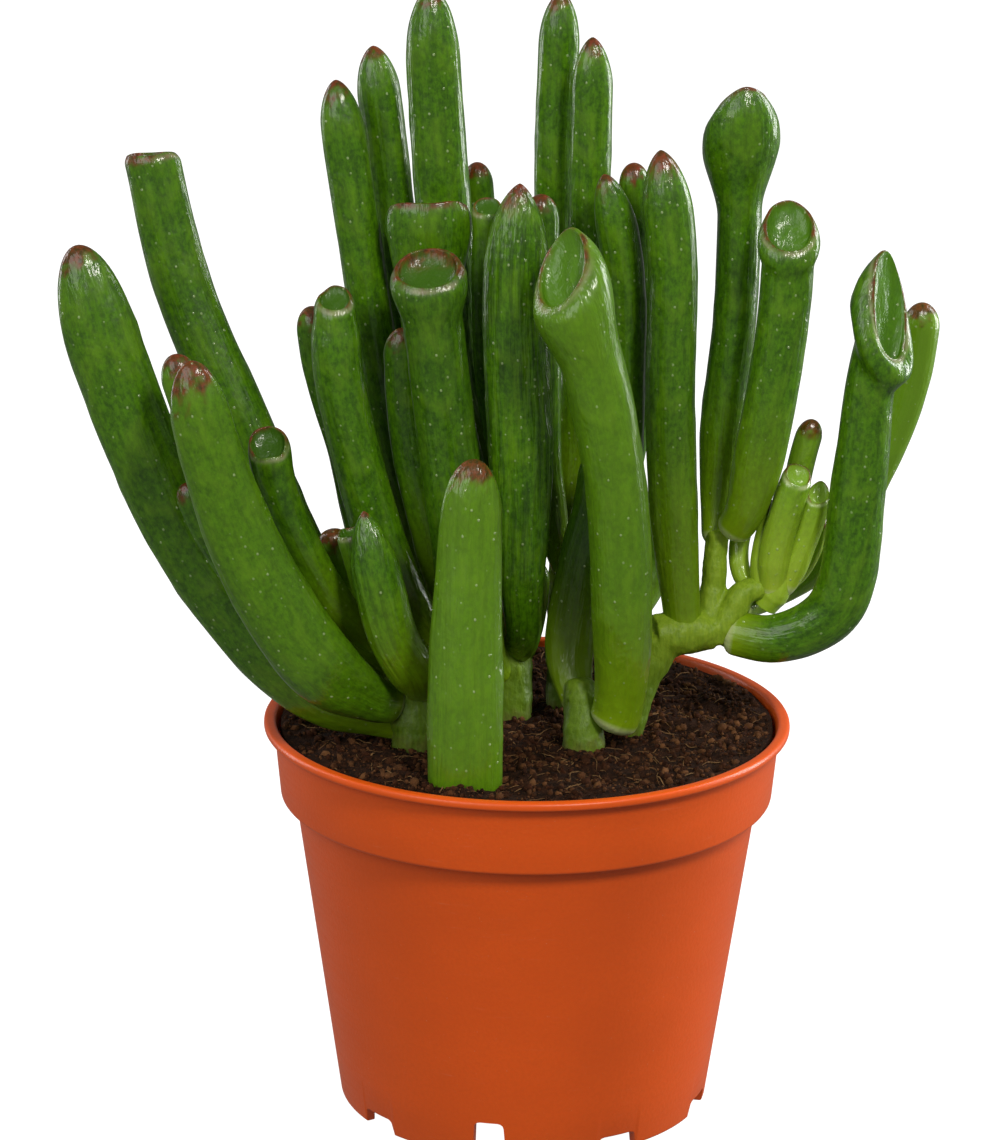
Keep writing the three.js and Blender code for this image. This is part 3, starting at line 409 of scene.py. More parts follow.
def smooth_path(points):
    """A centripetal Catmull-Rom curve through the points: on each span a cubic through both ends,
    whose end slopes weigh the neighbours by the square roots of the distances.
    Returns distances, places and directions at many steps."""
    p = np.asarray(points, float)
    p = np.vstack([2 * p[0] - p[1], p, 2 * p[-1] - p[-2]])
    gap = np.sqrt(np.linalg.norm(np.diff(p, axis=0), axis=1))[:, None]
    p0, p1, p2, p3 = p[:-3], p[1:-2], p[2:-1], p[3:]
    g0, g1, g2 = gap[:-2], gap[1:-1], gap[2:]
    m1 = ((p1 - p0) / g0 - (p2 - p0) / (g0 + g1) + (p2 - p1) / g1) * g1
    m2 = ((p2 - p1) / g1 - (p3 - p1) / (g1 + g2) + (p3 - p2) / g2) * g1
    t = np.linspace(0, 1, STEPS, endpoint=False)[None, :, None]
    powers = (p1, m1, -3 * p1 + 3 * p2 - 2 * m1 - m2, 2 * p1 - 2 * p2 + m1 + m2)
    a, b, c, d = (v[:, None] for v in powers)
    places = np.vstack([(a + b * t + c * t ** 2 + d * t ** 3).reshape(-1, 3), p[-2]])
    slopes = np.vstack([(b + 2 * c * t + 3 * d * t ** 2).reshape(-1, 3), m2[-1]])
    directions = slopes / np.linalg.norm(slopes, axis=1)[:, None]
    distances = np.concatenate([[0], np.cumsum(np.linalg.norm(np.diff(places, axis=0), axis=1))])
    return distances, places, directions


def stations(path, distance, hint):
    """Centre, side and face directions at distances along a path. Past its ends the path goes
    straight on. The face direction is the hint with its part along the path taken away."""
    distances, places, directions = path
    pick = lambda rows: np.stack([np.interp(distance, distances, rows[:, k]) for k in range(3)], axis=-1)
    along = pick(directions)
    along /= np.linalg.norm(along, axis=-1, keepdims=True)
    beyond = distance - np.clip(distance, 0, distances[-1])
    centre = pick(places) + beyond[..., None] * along
    face = hint - along * (along @ hint)[..., None]
    face /= np.linalg.norm(face, axis=-1, keepdims=True)
    return centre, np.cross(face, along), face


# Leaves

QUARTER = 0.5 * math.pi
FOOT_LENGTH = 3.2  # of the rounded foot, in millimetres
FOOT_START = 0.14  # angle of the foot's first row from its pole
NOSE_SHARE = 0.75  # usual length of a nose, as a share of the width
TAPER_START = 0.35  # share of the length at which a taper starts
LIFT = 0.25  # how far a leaf's front also looks up
CUP_RIM = 0.86  # width inside a rim, as a share of the width outside it
CREST_TO_BOWL = 3.4  # millimetres past its crest that a rim's and a bowl's rows count as
LONG_FADE, SHORT_FADE = 0.62, 0.38  # shares of a foot's paleness that fade slowly and fast
FOOT_ROWS, ROLL_ROWS, NOSE_ROWS, RIM_ROWS, BOWL_ROWS = 6, 8, 15, 7, 10
INNER_ROWS = RIM_ROWS + BOWL_ROWS


def leaf_surface(leaf, seed, sides, spacing, wrinkle):
    """A finger leaf as rows of points from its foot to its tip, with a pole at each end.

    The section is an ellipse carried along the path. Its size is the product of a quarter circle
    at the foot, a smooth swell to full width, a slow taper, a flare below a cup, and a closing
    curve: one less the square of the way along the nose, raised to the leaf's own power. A cup is
    cut on a slant that grows with the cube of the distance. It ends in a half-round rim and a bowl
    whose rings shrink as the cosine of the angle they sink by. Soft noise, long in the leaf's own
    direction, moves the skin in and out."""
    path = smooth_path(leaf.path)
    length = path[0][-1]
    facing = math.radians(leaf.facing)
    hint = np.array([math.cos(facing), math.sin(facing), LIFT])
    half = np.array([leaf.width / 2, leaf.thick / 2])
    cup = leaf.cup
    end = cup.roll if cup else leaf.nose or leaf.width * NOSE_SHARE

    # Rows: a quarter turn at the foot, even steps along the body, a quarter turn at the tip
    foot_turn = np.linspace(FOOT_START, QUARTER, FOOT_ROWS + 1)[:-1]
    body = np.linspace(FOOT_LENGTH, length - end, max(int((length - end - FOOT_LENGTH) / spacing), 8))
    if cup:
        tip_turn = np.linspace(0, QUARTER, ROLL_ROWS + 1)[1:]
    else:
        tip_turn = np.linspace(0, QUARTER, NOSE_ROWS + 2)[1:-1]
    s = np.concatenate([FOOT_LENGTH * (1 - np.cos(foot_turn)), body, length - end + end * np.sin(tip_turn)])

    foot = np.minimum(s / FOOT_LENGTH, 1)
    size = np.sqrt(1 - (1 - foot) ** 2)
    size *= leaf.foot + (1 - leaf.foot) * smooth(0, leaf.swell * length, s)
    size *= 1 - (1 - leaf.taper) * smooth(TAPER_START * length, length, s)
    q = np.maximum((s - (length - end)) / end, 0)
    if cup:
        size *= 1 + (cup.flare - 1) * smooth(length - cup.flare_length, length - end, s)
        size *= 1 - cup.dome * q ** 2.5
    else:
        size *= np.maximum(1 - q * q, 0) ** leaf.point
    sink, level, inside = np.zeros(len(s)), np.ones(len(s)), np.zeros(len(s))
    if cup:
        edge = size[-1]
        turn = np.linspace(0, math.pi, RIM_ROWS + 1)[1:]
        rim = (1 - CUP_RIM) / 2 * edge
        sunk = QUARTER * np.linspace(0, 1, BOWL_ROWS + 2)[1:-1]
        size = np.concatenate([size, edge - rim + rim * np.cos(turn), edge * CUP_RIM * np.cos(sunk) ** 0.8])
        sink = np.concatenate([sink, -rim * half[1] * 0.7 * np.sin(turn), cup.depth * np.sin(sunk)])
        level = np.concatenate([level, np.ones(RIM_ROWS), np.cos(sunk) ** 0.6])
        inside = np.concatenate([inside, smooth(0.5, 1.0, turn / math.pi), np.ones(BOWL_ROWS)])
        s = np.concatenate([s, np.full(INNER_ROWS, length)])

    angle = circle(sides)
    cos, sin = np.cos(angle), np.sin(angle)
    low = np.zeros((len(s), sides))
    if cup:
        mouth = math.radians(cup.mouth)
        low = cup.slant * (1 + level[:, None] * np.cos(angle - mouth)) / 2 * ((s / length) ** 3)[:, None]
        wave = noise(np.stack([3 * cos, 3 * sin, 0 * angle], -1), 2.6, seed + 7)
        low += 0.5 * (0.4 + wave) * level[:, None] * smooth(length - 4, length, s)[:, None]
    distance = s[:, None] - low - sink[:, None]
    centre, side, face = stations(path, distance, hint)

    # The leaf's own straight coordinates in millimetres, which every pattern is drawn in
    flat = np.stack([half[0] * size[:, None] * cos, half[1] * size[:, None] * sin, distance], -1)
    around = np.stack(np.broadcast_arrays(half[0] * cos, half[0] * sin, distance), -1)
    relief = 0.030 * noise(around, (9, 9, 22), seed) + 0.016 * noise(around, (3.4, 3.4, 11), seed + 1)
    relief += 0.018 * noise(around, (2.2, 2.2, 4.2), seed + 6)
    relief += 0.030 * wrinkle * leaf.lines * noise(around, (1.9, 1.9, 26), seed + 2)
    relief *= (1 - 0.8 * inside)[:, None] * smooth(0, FOOT_LENGTH, s)[:, None]
    grown = flat[..., :2] * (1 + relief[..., None])
    points = centre + grown[..., :1] * side + grown[..., 1:] * face

    # Marks. A cup is red in a broken ring on its crest and just inside it, and just outside its rim
    # lies a pale painted highlight, strongest on its lowest side. A nose is red over its last
    # millimetres, most on the side that the sun reached.
    reach = leaf.red or (1.0 if cup else 2.8)
    blotch = noise(flat, 1.7, seed + 3) + 0.5 * noise(flat, 0.7, seed + 4)
    if cup:
        past = np.concatenate([s[:-INNER_ROWS] - length, np.linspace(0, CREST_TO_BOWL, INNER_ROWS)])
        lowest = (1 + np.cos(angle - mouth)) / 2
        red = np.exp(-((past - 0.4) / reach) ** 2)[:, None] * (1 - 0.7 * lowest) * (1 + 0.75 * blotch)
        lip = np.exp(-((past + 0.7) / 0.6) ** 2)[:, None] * (0.3 + 0.7 * lowest)
        lip = lip * leaf.lip * (0.8 + 1.1 * noise(flat, 2.4, seed + 5))
    else:
        sun = 0.5 + 0.5 * np.cos(angle - math.radians(leaf.sun))
        past = (length - s)[:, None] / (reach * (0.55 + 0.9 * sun))
        red = np.clip(1.25 - past + 0.55 * blotch, 0, 1)
        lip = np.zeros_like(red)
    foot_pale = LONG_FADE * (1 - smooth(2, leaf.pale, s)) + SHORT_FADE * (1 - smooth(1, 8, s))
    middle = length - cup.slant / 2 - cup.depth if cup else length
    poles = stations(path, np.array([0.0, middle]), hint)[0]
    count = len(s) * sides + 2

    def value(rows, first, last):
        """A value from 0 to 1 at every point, and then at the two poles."""
        return np.concatenate([np.clip(np.broadcast_to(rows, low.shape), 0, 1).ravel(), [first, last]])

    values = {
        "grain": np.vstack([flat.reshape(-1, 3), [[0, 0, 0], [0, 0, length]]]),
        "red": value(red, 0, red[-1].mean()),
        "lip": value(lip, 0, 0),
        "pale": value(foot_pale[:, None], 1, 0),
        # A cup's inside: its own colour, and painted shade where it is deepest
        "hollow": value(inside[:, None] * leaf.shade, 0, inside[-1] * leaf.shade),
        "lines": np.full(count, leaf.lines),
        "tone": np.full(count, leaf.tone),
    }
    return np.vstack([points.reshape(-1, 3), poles]), *tube_faces(len(s), sides), values


# Stems

LIMB_ROWS, LIMB_SIDES = 40, 24
LIMB_FACING = np.array([0.3, -1, 0.1])
SCAR_SPACING = 6.5


def limb_surface(path_points, radii):
    """A round limb: circles along a path, with radii blended from point to point, rings of old
    leaf scars as small swellings, and a rounded end."""
    path = smooth_path(path_points)
    length, tip = path[0][-1], radii[-1]
    end_turn = np.linspace(0, QUARTER, 7)[1:-1]
    s = np.concatenate([np.linspace(0, length, LIMB_ROWS), length + tip * 0.5 * np.sin(end_turn)])
    radius = np.interp(s / length * (len(radii) - 1), np.arange(len(radii)), radii)
    radius[LIMB_ROWS:] = tip * np.cos(end_turn)
    radius *= 1 + 0.05 * np.exp(-((np.mod(s, SCAR_SPACING) - 3.2) / 0.7) ** 2)
    angle = circle(LIMB_SIDES)
    centre, side, face = stations(path, np.repeat(s[:, None], LIMB_SIDES, 1), LIMB_FACING)
    across, out = radius[:, None] * np.cos(angle), radius[:, None] * np.sin(angle)
    points = centre + across[..., None] * side + out[..., None] * face
    poles = stations(path, np.array([0.0, length + tip * 0.5]), LIMB_FACING)[0]
    return np.vstack([points.reshape(-1, 3), poles]), *tube_faces(len(s), LIMB_SIDES), {}


# Pot

def rounded_profile(corners):
    """A line of radius and height through corners, each given as radius, height and rounding. A
    corner with rounding becomes a quadratic curve from a point before it to a point after it."""
    line = []
    flat = np.array([c[:2] for c in corners], float)
    for k, (_, _, bend) in enumerate(corners):
        if not bend or k in (0, len(corners) - 1):
            line.append(flat[k])
            continue
        before = flat[k - 1] - flat[k]
        after = flat[k + 1] - flat[k]
        a = flat[k] + before * min(bend / np.linalg.norm(before), 0.5)
        b = flat[k] + after * min(bend / np.linalg.norm(after), 0.5)
        t = np.linspace(0, 1, 5)[:, None]
        line.extend((1 - t) ** 2 * a + 2 * t * (1 - t) * flat[k] + t ** 2 * b)
    return np.array(line)


# Notches of the foot ring: the angle in degrees, the width and the height of each
NOTCHES = [(-100 + 40 * k, 9.5, 3.6) if k % 3 else (-100 + 40 * k, 6.6, 8.8) for k in range(9)]
BASE_RADIUS = 42.6
FLOOR_HEIGHT = 10.0


def notch_outline(width, height):
    """Half of a notch's edge: distances from its middle and the heights there."""
    bend = min(1.4, height / 2)
    half = width / 2
    across = np.array([0, half - bend, half - 0.5 * bend, half - 0.15 * bend, half, half + 0.5])
    up = np.array([height, height, height - 0.13 * bend, height - 0.45 * bend, height - bend, 0])
    return across, up


def pot_surface(pot):
    """The pot as one closed skin: a profile turned round the axis. Below the floor its foot ring
    is lifted to the notch height at each angle, and the rest of the ring is squeezed to fit."""
    wall = pot.wall / MM
    lip, height = pot.lip_radius / MM, pot.height / MM
    collar_top, collar_foot, collar_z = 57.8, 56.2, 73.1
    top, base = 53.0, BASE_RADIUS
    slope = (top - base) / collar_z
    lip_foot = height - 1.9
    corners = [
        (0, FLOOR_HEIGHT, 0), (10, FLOOR_HEIGHT, 0),
        (base + slope * FLOOR_HEIGHT - wall - 1.4, FLOOR_HEIGHT, 0.5),
        (base - 2.2, 0, 0.35), (base, 0, 0.55), (base + slope * 12, 12, 0.2), (base + slope * 40, 40, 0.2),
        (top, collar_z, 0.7), (collar_foot, collar_z, 0.9), (collar_foot + 0.75, 81, 0.3),
        (collar_top - 0.1, lip_foot, 0.3), (lip, lip_foot, 0.7), (lip, height, 0.9),
        (collar_top - 0.4, height, 0.8), (collar_top - wall - 0.1, height - 2.2, 1.0),
        (collar_foot - wall, collar_z + wall, 0.6), (top - wall, collar_z + wall - 0.4, 0.6),
        (base + slope * (FLOOR_HEIGHT + wall) - wall, FLOOR_HEIGHT + wall, 1.5),
        (10, FLOOR_HEIGHT + wall, 0), (0, FLOOR_HEIGHT + wall, 0),
    ]
    line = rounded_profile(corners)
    degrees = [np.arange(0, 360, 1.5)]
    for middle, width, tall in NOTCHES:
        across = np.degrees(notch_outline(width, tall)[0] / BASE_RADIUS)
        extra = np.degrees((width / 2 + 0.9) / BASE_RADIUS)
        near = np.concatenate([middle - across, middle + across[1:], [middle - extra, middle + extra]])
        degrees[0] = degrees[0][np.abs((degrees[0] - middle + 180) % 360 - 180) > extra]
        inner = np.degrees(np.linspace(-0.8, 0.8, 5) * (width / 2 - 1.4) / BASE_RADIUS) + middle
        degrees.append(np.concatenate([near, inner]) % 360)
    turn = np.unique(np.round(np.concatenate(degrees) % 360, 5))
    lift = np.zeros(len(turn))
    for middle, width, tall in NOTCHES:
        gap = np.radians(np.abs((turn - middle + 180) % 360 - 180)) * BASE_RADIUS
        across, up = notch_outline(width, tall)
        lift = np.maximum(lift, np.interp(gap, across, up, right=0))
    inner = line[1:-1]
    radius = np.repeat(inner[:, :1], len(turn), 1)
    z = np.repeat(inner[:, 1:], len(turn), 1)
    ring = z < FLOOR_HEIGHT - 0.05
    raised = lift[None, :] + z * (FLOOR_HEIGHT - lift[None, :]) / FLOOR_HEIGHT
    radius = np.where(ring, radius + slope * (raised - z), radius)
    z = np.where(ring, raised, z)
    return *turned_skin(radius, z, np.radians(turn), line[0, 1], line[-1, 1]), {}


# Drainage holes: how many, the radius of their circle, and the radius of each in millimetres
HOLES, HOLE_CIRCLE, HOLE_RADIUS = 6, 27, 3.5
HOLE_SIDES = 32
DRILL_LOW, DRILL_HIGH = FLOOR_HEIGHT - 2, FLOOR_HEIGHT + 3.3


def drill_holes(piece):
    """Cuts the drainage holes through the floor with short cylinders."""
    angle = circle(HOLE_SIDES)
    parts = []
    for k in range(HOLES):
        middle = HOLE_CIRCLE * np.array([math.cos(k * math.pi / 3), math.sin(k * math.pi / 3)])
        ring = middle + HOLE_RADIUS * np.stack([np.cos(angle), np.sin(angle)], -1)
        rows = [np.column_stack([ring, np.full(HOLE_SIDES, z)]) for z in (DRILL_LOW, DRILL_HIGH)]
        poles = [[*middle, DRILL_LOW], [*middle, DRILL_HIGH]]
        parts.append((np.vstack([*rows, poles]), *tube_faces(2, HOLE_SIDES), {}))
    points, quads, tris, _ = join(parts)
    mesh = bpy.data.meshes.new("drills")
    mesh.from_pydata(place(points).tolist(), [], quads.tolist() + tris.tolist())
    drills = bpy.data.objects.new("drills", mesh)
    bpy.context.scene.collection.objects.link(drills)
    bpy.context.view_layer.update()
    applied(piece, ("BOOLEAN", {"operation": "DIFFERENCE", "object": drills, "solver": "EXACT"}))
    bpy.data.objects.remove(drills)
    bpy.data.meshes.remove(mesh)


# Soil

SOIL_Z = 89.7
SOIL_RADIUS = 56.1
SOIL_SIDES, SOIL_RINGS = 200, 110

# Radius and height of the soil's hidden side, from its bottom up
SOIL_SIDE = [(39.4, 11.8), (41.5, 14.2), (51.2, 74.0), (54.3, 75.3), (SOIL_RADIUS, 86.5),
             (SOIL_RADIUS + 0.1, 88.6)]


def soil_height(x, y):
    """Slow waves, then lumps of falling size: about 7 mm, 3 mm and 1.3 mm across."""
    waves = np.sin(0.21 * x + 0.7) * np.cos(0.17 * y) + 0.6 * np.sin(0.33 * y + 0.19 * x + 2.1)
    flat = np.stack([x, y, np.zeros_like(x)], -1)
    lumps = 0.8 * noise(flat, 7.0, 31) + 0.55 * noise(flat, 3.0, 32) + 0.4 * noise(flat, 1.3, 33)
    return SOIL_Z + 0.48 * waves + lumps * smooth(SOIL_RADIUS + 0.2, SOIL_RADIUS - 3, np.hypot(x, y))


def soil_surface():
    """The soil as one closed skin: a bottom, a side that follows the pot and a top of rings."""
    angle = circle(SOIL_SIDES)
    radius = [np.full(SOIL_SIDES, r) for r, _ in SOIL_SIDE]
    z = [np.full(SOIL_SIDES, h) for _, h in SOIL_SIDE]
    for r in SOIL_RADIUS * np.linspace(1, 0, SOIL_RINGS, endpoint=False):
        radius.append(np.full(SOIL_SIDES, r))
        z.append(soil_height(r * np.cos(angle), r * np.sin(angle)))
    middle = soil_height(np.zeros(1), np.zeros(1))[0]
    points, quads, tris = turned_skin(np.array(radius), np.array(z), angle, SOIL_SIDE[0][1], middle)
    return points, quads, tris, {"tone": np.zeros(len(points))}


def scattered(draw, count, reach):
    """Random places on the soil, even over its disc out to a share of its radius."""
    r = SOIL_RADIUS * reach * np.sqrt(draw.random(count))
    turn = 2 * math.pi * draw.random(count)
    x, y = r * np.cos(turn), r * np.sin(turn)
    return np.stack([x, y, soil_height(x, y)], -1)


def crumb_surface(count, seed):
    """Crumbs of peat: a twelve-cornered ball, with each corner moved in or out, stretched,
    turned and set half into the soil."""
    draw = np.random.default_rng(seed)
    gold = (1 + math.sqrt(5)) / 2
    ball = np.array([(-1, gold, 0), (1, gold, 0), (-1, -gold, 0), (1, -gold, 0),
                     (0, -1, gold), (0, 1, gold), (0, -1, -gold), (0, 1, -gold),
                     (gold, 0, -1), (gold, 0, 1), (-gold, 0, -1), (-gold, 0, 1)])
    ball /= math.sqrt(1 + gold * gold)
    faces = np.array([(0, 11, 5), (0, 5, 1), (0, 1, 7), (0, 7, 10), (0, 10, 11), (1, 5, 9), (5, 11, 4),
                      (11, 10, 2), (10, 7, 6), (7, 1, 8), (3, 9, 4), (3, 4, 2), (3, 2, 6), (3, 6, 8),
                      (3, 8, 9), (4, 9, 5), (2, 4, 11), (6, 2, 10), (8, 6, 7), (9, 8, 1)])
    middle = scattered(draw, count, 0.985)
    size = 0.22 + 0.85 * draw.random(count) ** 3
    stretch = 0.6 + 0.8 * draw.random((count, 1, 3))
    bumps = 0.75 + 0.5 * draw.random((count, 12, 1))
    turn = 2 * math.pi * draw.random(count)
    shape = ball * bumps * stretch * size[:, None, None]
    cos, sin = np.cos(turn)[:, None], np.sin(turn)[:, None]
    x = shape[..., 0] * cos - shape[..., 1] * sin
    y = shape[..., 0] * sin + shape[..., 1] * cos
    points = np.stack([x, y, shape[..., 2]], -1) + middle[:, None] + [0, 0, 0.15]
    tris = (faces + 12 * np.arange(count)[:, None, None]).reshape(-1, 3)
    tone = np.repeat(draw.random(count) ** 3, 12)
    return points.reshape(-1, 3), np.zeros((0, 4), int), tris, {"tone": tone}


def fibre_surface(count, seed):
    """Fibres of peat and bark: three-sided threads on a bent line that lies on the soil."""
    draw = np.random.default_rng(seed)
    steps, sides = 7, 3
    middle = scattered(draw, count, 0.95)
    turn = 2 * math.pi * draw.random(count)
    length = draw.uniform(2, 7, count)
    bend = draw.uniform(-1.2, 1.2, count)
    radius = draw.uniform(0.08, 0.18, count)
    t = np.linspace(-0.5, 0.5, steps)
    heading = turn[:, None] + bend[:, None] * t
    step = length[:, None] / steps
    x = middle[:, :1] + np.cumsum(np.cos(heading) * step, 1)
    y = middle[:, 1:2] + np.cumsum(np.sin(heading) * step, 1)
    keep = np.hypot(x, y).max(axis=1) < SOIL_RADIUS - 0.6
    x, y, heading, radius = x[keep], y[keep], heading[keep], radius[keep]
    count = len(x)
    z = soil_height(x, y) + radius[:, None] + 0.9 * draw.random((count, 1)) * (0.25 - t ** 2)
    around = circle(sides)
    width = radius[:, None] * np.sqrt(1 - (2 * t * 0.96) ** 2)
    out = width[..., None] * np.cos(around)
    rise = width[..., None] * np.sin(around)
    px = x[..., None] - out * np.sin(heading)[..., None]
    py = y[..., None] + out * np.cos(heading)[..., None]
    points = np.stack([px, py, z[..., None] + rise], -1).reshape(count, -1, 3)
    ends = np.stack([x, y, z], -1)[:, [0, -1]]
    points = np.concatenate([points, ends], 1)
    start = points.shape[1] * np.arange(count)[:, None, None]
    quads, tris = tube_faces(steps, sides)
    quads, tris = (quads + start).reshape(-1, 4), (tris + start).reshape(-1, 3)
    tone = np.repeat(draw.random(count), points.shape[1])
    return points.reshape(-1, 3), quads, tris, {"tone": tone}


# Materials

def add(tree, kind, inputs=None, **settings):
    """Adds a node with its settings. An input is a value, or an output socket to link from."""
    made = tree.nodes.new(kind)
    for key, value in settings.items():
        setattr(made, key, value)
    for key, value in (inputs or {}).items():
        if isinstance(value, bpy.types.NodeSocket):
            tree.links.new(value, made.inputs[key])
        else:
            made.inputs[key].default_value = value
    return made


def new_material(name):
    """An empty node material and its tree."""
    material = bpy.data.materials.new(name)
    material.use_nodes = True
    material.node_tree.nodes.clear()
    return material, material.node_tree


def attribute(tree, name, output="Fac"):
    """The socket of a named attribute of the mesh."""
    return add(tree, "ShaderNodeAttribute", attribute_name=name).outputs[output]


def object_mm(tree):
    """The piece's own coordinates in millimetres."""
    place_m = add(tree, "ShaderNodeTexCoord").outputs["Object"]
    return scaled(tree, place_m, (MM, MM, MM))


def scaled(tree, vector, sizes):
    """Coordinates divided by a size for each axis, so that one unit is one grain of a pattern."""
    scale = [1 / size for size in sizes]
    return add(tree, "ShaderNodeMapping", {"Vector": vector, "Scale": scale}).outputs[0]


def cloud(tree, vector, sizes, detail, rough, warp=0.0):
    """Noise from 0 to 1, whose grains have a size for each axis."""
    inputs = {"Vector": scaled(tree, vector, sizes), "Scale": 1.0, "Detail": detail, "Roughness": rough,
              "Distortion": warp}
    return add(tree, "ShaderNodeTexNoise", inputs).outputs["Fac"]


def ramp(tree, value, low, high, out_low=0.0, out_high=1.0):
    """A value stretched so that low to high becomes out_low to out_high, smoothly."""
    inputs = {0: value, 1: low, 2: high, 3: out_low, 4: out_high}
    return add(tree, "ShaderNodeMapRange", inputs, interpolation_type="SMOOTHSTEP").outputs[0]


def mixed(tree, factor, a, b):
    """Two colours mixed by a factor."""
    return add(tree, "ShaderNodeMix", {0: factor, 6: a, 7: b}, data_type="RGBA").outputs[2]


def layered(tree, colour, layers):
    """A colour with others laid over it in turn, each by its own factor."""
    for factor, over in layers:
        colour = mixed(tree, factor, colour, over)
    return colour


def times(tree, a, b, kind="MULTIPLY"):
    """Two numbers multiplied, or put together by another kind of sum."""
    return add(tree, "ShaderNodeMath", {0: a, 1: b}, operation=kind).outputs[0]


def bumped(tree, *layers):
    """A normal pushed in turn by heights from 0 to 1, each of which stands for a distance in metres."""
    inputs = {}
    for height, distance in layers:
        inputs.update({"Height": height, "Distance": distance, "Strength": 1.0})
        inputs["Normal"] = add(tree, "ShaderNodeBump", inputs).outputs[0]
    return inputs["Normal"]


def surface(tree, **inputs):
    """The shader and the output."""
    named = {key.replace("_", " "): value for key, value in inputs.items()}
    shader = add(tree, "ShaderNodeBsdfPrincipled", named)
    add(tree, "ShaderNodeOutputMaterial", {"Surface": shader.outputs[0]})


def leaf_skin(name, look, rough):
    """Waxy succulent skin: a smooth cuticle over watery green flesh. The wax gives a soft veil and
    small sharp glints. The green is grained about 1 mm wide under broad paler clouds, and has pale
    pores. Some leaves have lengthwise lines, and sun has reddened the tips and rims. The bowl of a
    cup is darkened with painted shade, and a pale painted highlight lies just outside its rim."""
    material, tree = new_material(name)
    look = {key: linear(colour) for key, colour in look.items()}
    grain = attribute(tree, "grain", "Vector")
    lines, tone, red, pale, hollow, lip = (
        attribute(tree, key) for key in ("lines", "tone", "red", "pale", "hollow", "lip"))
    patch = cloud(tree, grain, (6, 6, 10), 3.0, 0.55, 0.5)
    granule = cloud(tree, grain, (1.1, 1.1, 1.5), 5.0, 0.7)
    streak = cloud(tree, grain, (1.2, 1.2, 20), 2.0, 0.55)
    green = layered(tree, look["dark"], [
        (ramp(tree, granule, 0.3, 0.68), look["mid"]),
        (ramp(tree, patch, 0.42, 0.75, 0.0, 0.5), look["light"]),
        (times(tree, ramp(tree, streak, 0.5, 0.62, 0.0, 0.7), lines), look["deep"]),
        (times(tree, ramp(tree, streak, 0.45, 0.35, 0.0, 0.4), lines), look["light"]),
        (ramp(tree, tone, 0.0, 1.0), look["light"]),
        (ramp(tree, tone, 0.0, -1.0), look["deep"]),
        (hollow, look["inside"]),
        # Painted shade: the deepest part of a cup's bowl is darkened
        (ramp(tree, hollow, 0.6, 1.0, 0.0, 0.45), look["deep"]),
        (times(tree, pale, 0.85), look["foot"]),
        (ramp(tree, pale, 0.86, 1.0, 0.0, 0.8), look["heel"]),
        # Painted highlight: a pale band just outside a cup's rim
        (times(tree, lip, 0.4), look["lip"]),
        (ramp(tree, red, 0.1, 0.9, 0.0, 0.85),
         mixed(tree, ramp(tree, granule, 0.35, 0.65), look["red"], look["rust"])),
    ])

    # Pores: pale dots about 0.5 mm across, one in each cell of about 1.8 mm, and only in some cells
    spot = scaled(tree, grain, (1.7, 1.7, 1.9))
    cells = add(tree, "ShaderNodeTexVoronoi", {"Vector": spot, "Scale": 1.0})
    chance = add(tree, "ShaderNodeSeparateColor", {0: cells.outputs["Color"]}).outputs[0]
    dot = times(tree, ramp(tree, cells.outputs["Distance"], 0.22, 0.08), ramp(tree, chance, 0.45, 1.0))
    colour = mixed(tree, times(tree, dot, 0.7), green, look["pore"])

    normal = bumped(tree, (patch, 0.0005), (times(tree, streak, lines), 0.0009), (granule, 0.00005),
                    (dot, 0.0001))
    gloss = ramp(tree, granule, 0.3, 0.7, rough + 0.06, rough - 0.06)
    surface(tree, Base_Color=colour, Roughness=gloss, IOR=1.45, Normal=normal, Specular_IOR_Level=0.3,
            Subsurface_Weight=0.06, Subsurface_Radius=(0.5, 1.0, 0.15), Subsurface_Scale=0.0012,
            Coat_Weight=ramp(tree, hollow, 0, 1, 0.6, 0.3), Coat_Roughness=0.08, Coat_IOR=1.45,
            Coat_Normal=normal)
    return material


def stem_skin():
    """Green stem of a young succulent: matt and slightly fibrous, darker and a little corky where
    it leaves the soil, and yellow-green where it is fresh."""
    material, tree = new_material("green_stem_bark")
    spot = object_mm(tree)
    patch = cloud(tree, spot, (3, 3, 4), 4.0, 0.65)
    fibre = cloud(tree, spot, (0.9, 0.9, 4), 3.0, 0.6)
    green, corky, young = (mixed(tree, fibre, linear(dark), linear(light)) for dark, light in (
        ("#33500c", "#6a8c1e"), ("#3a2a14", "#6b5a30"), ("#5f8010", "#a0bc30")))
    age = attribute(tree, "age")
    cork = ramp(tree, times(tree, age, times(tree, patch, 0.35, "ADD")), 0.62, 0.95, 0.0, 0.6)
    colour = layered(tree, green, [(cork, corky), (attribute(tree, "fresh"), young)])
    surface(tree, Base_Color=colour, Roughness=ramp(tree, cork, 0, 1, 0.45, 0.85), IOR=1.45,
            Normal=bumped(tree, (patch, 0.0005), (fibre, 0.00016)), Specular_IOR_Level=0.3,
            Subsurface_Weight=0.06, Subsurface_Radius=(0.5, 1.0, 0.2), Subsurface_Scale=0.001)
    return material


def shade(colour, share):
    """A linear colour made darker, or paler where the share is above 1."""
    return [min(part * share, 1.0) for part in colour[:3]] + [1.0]


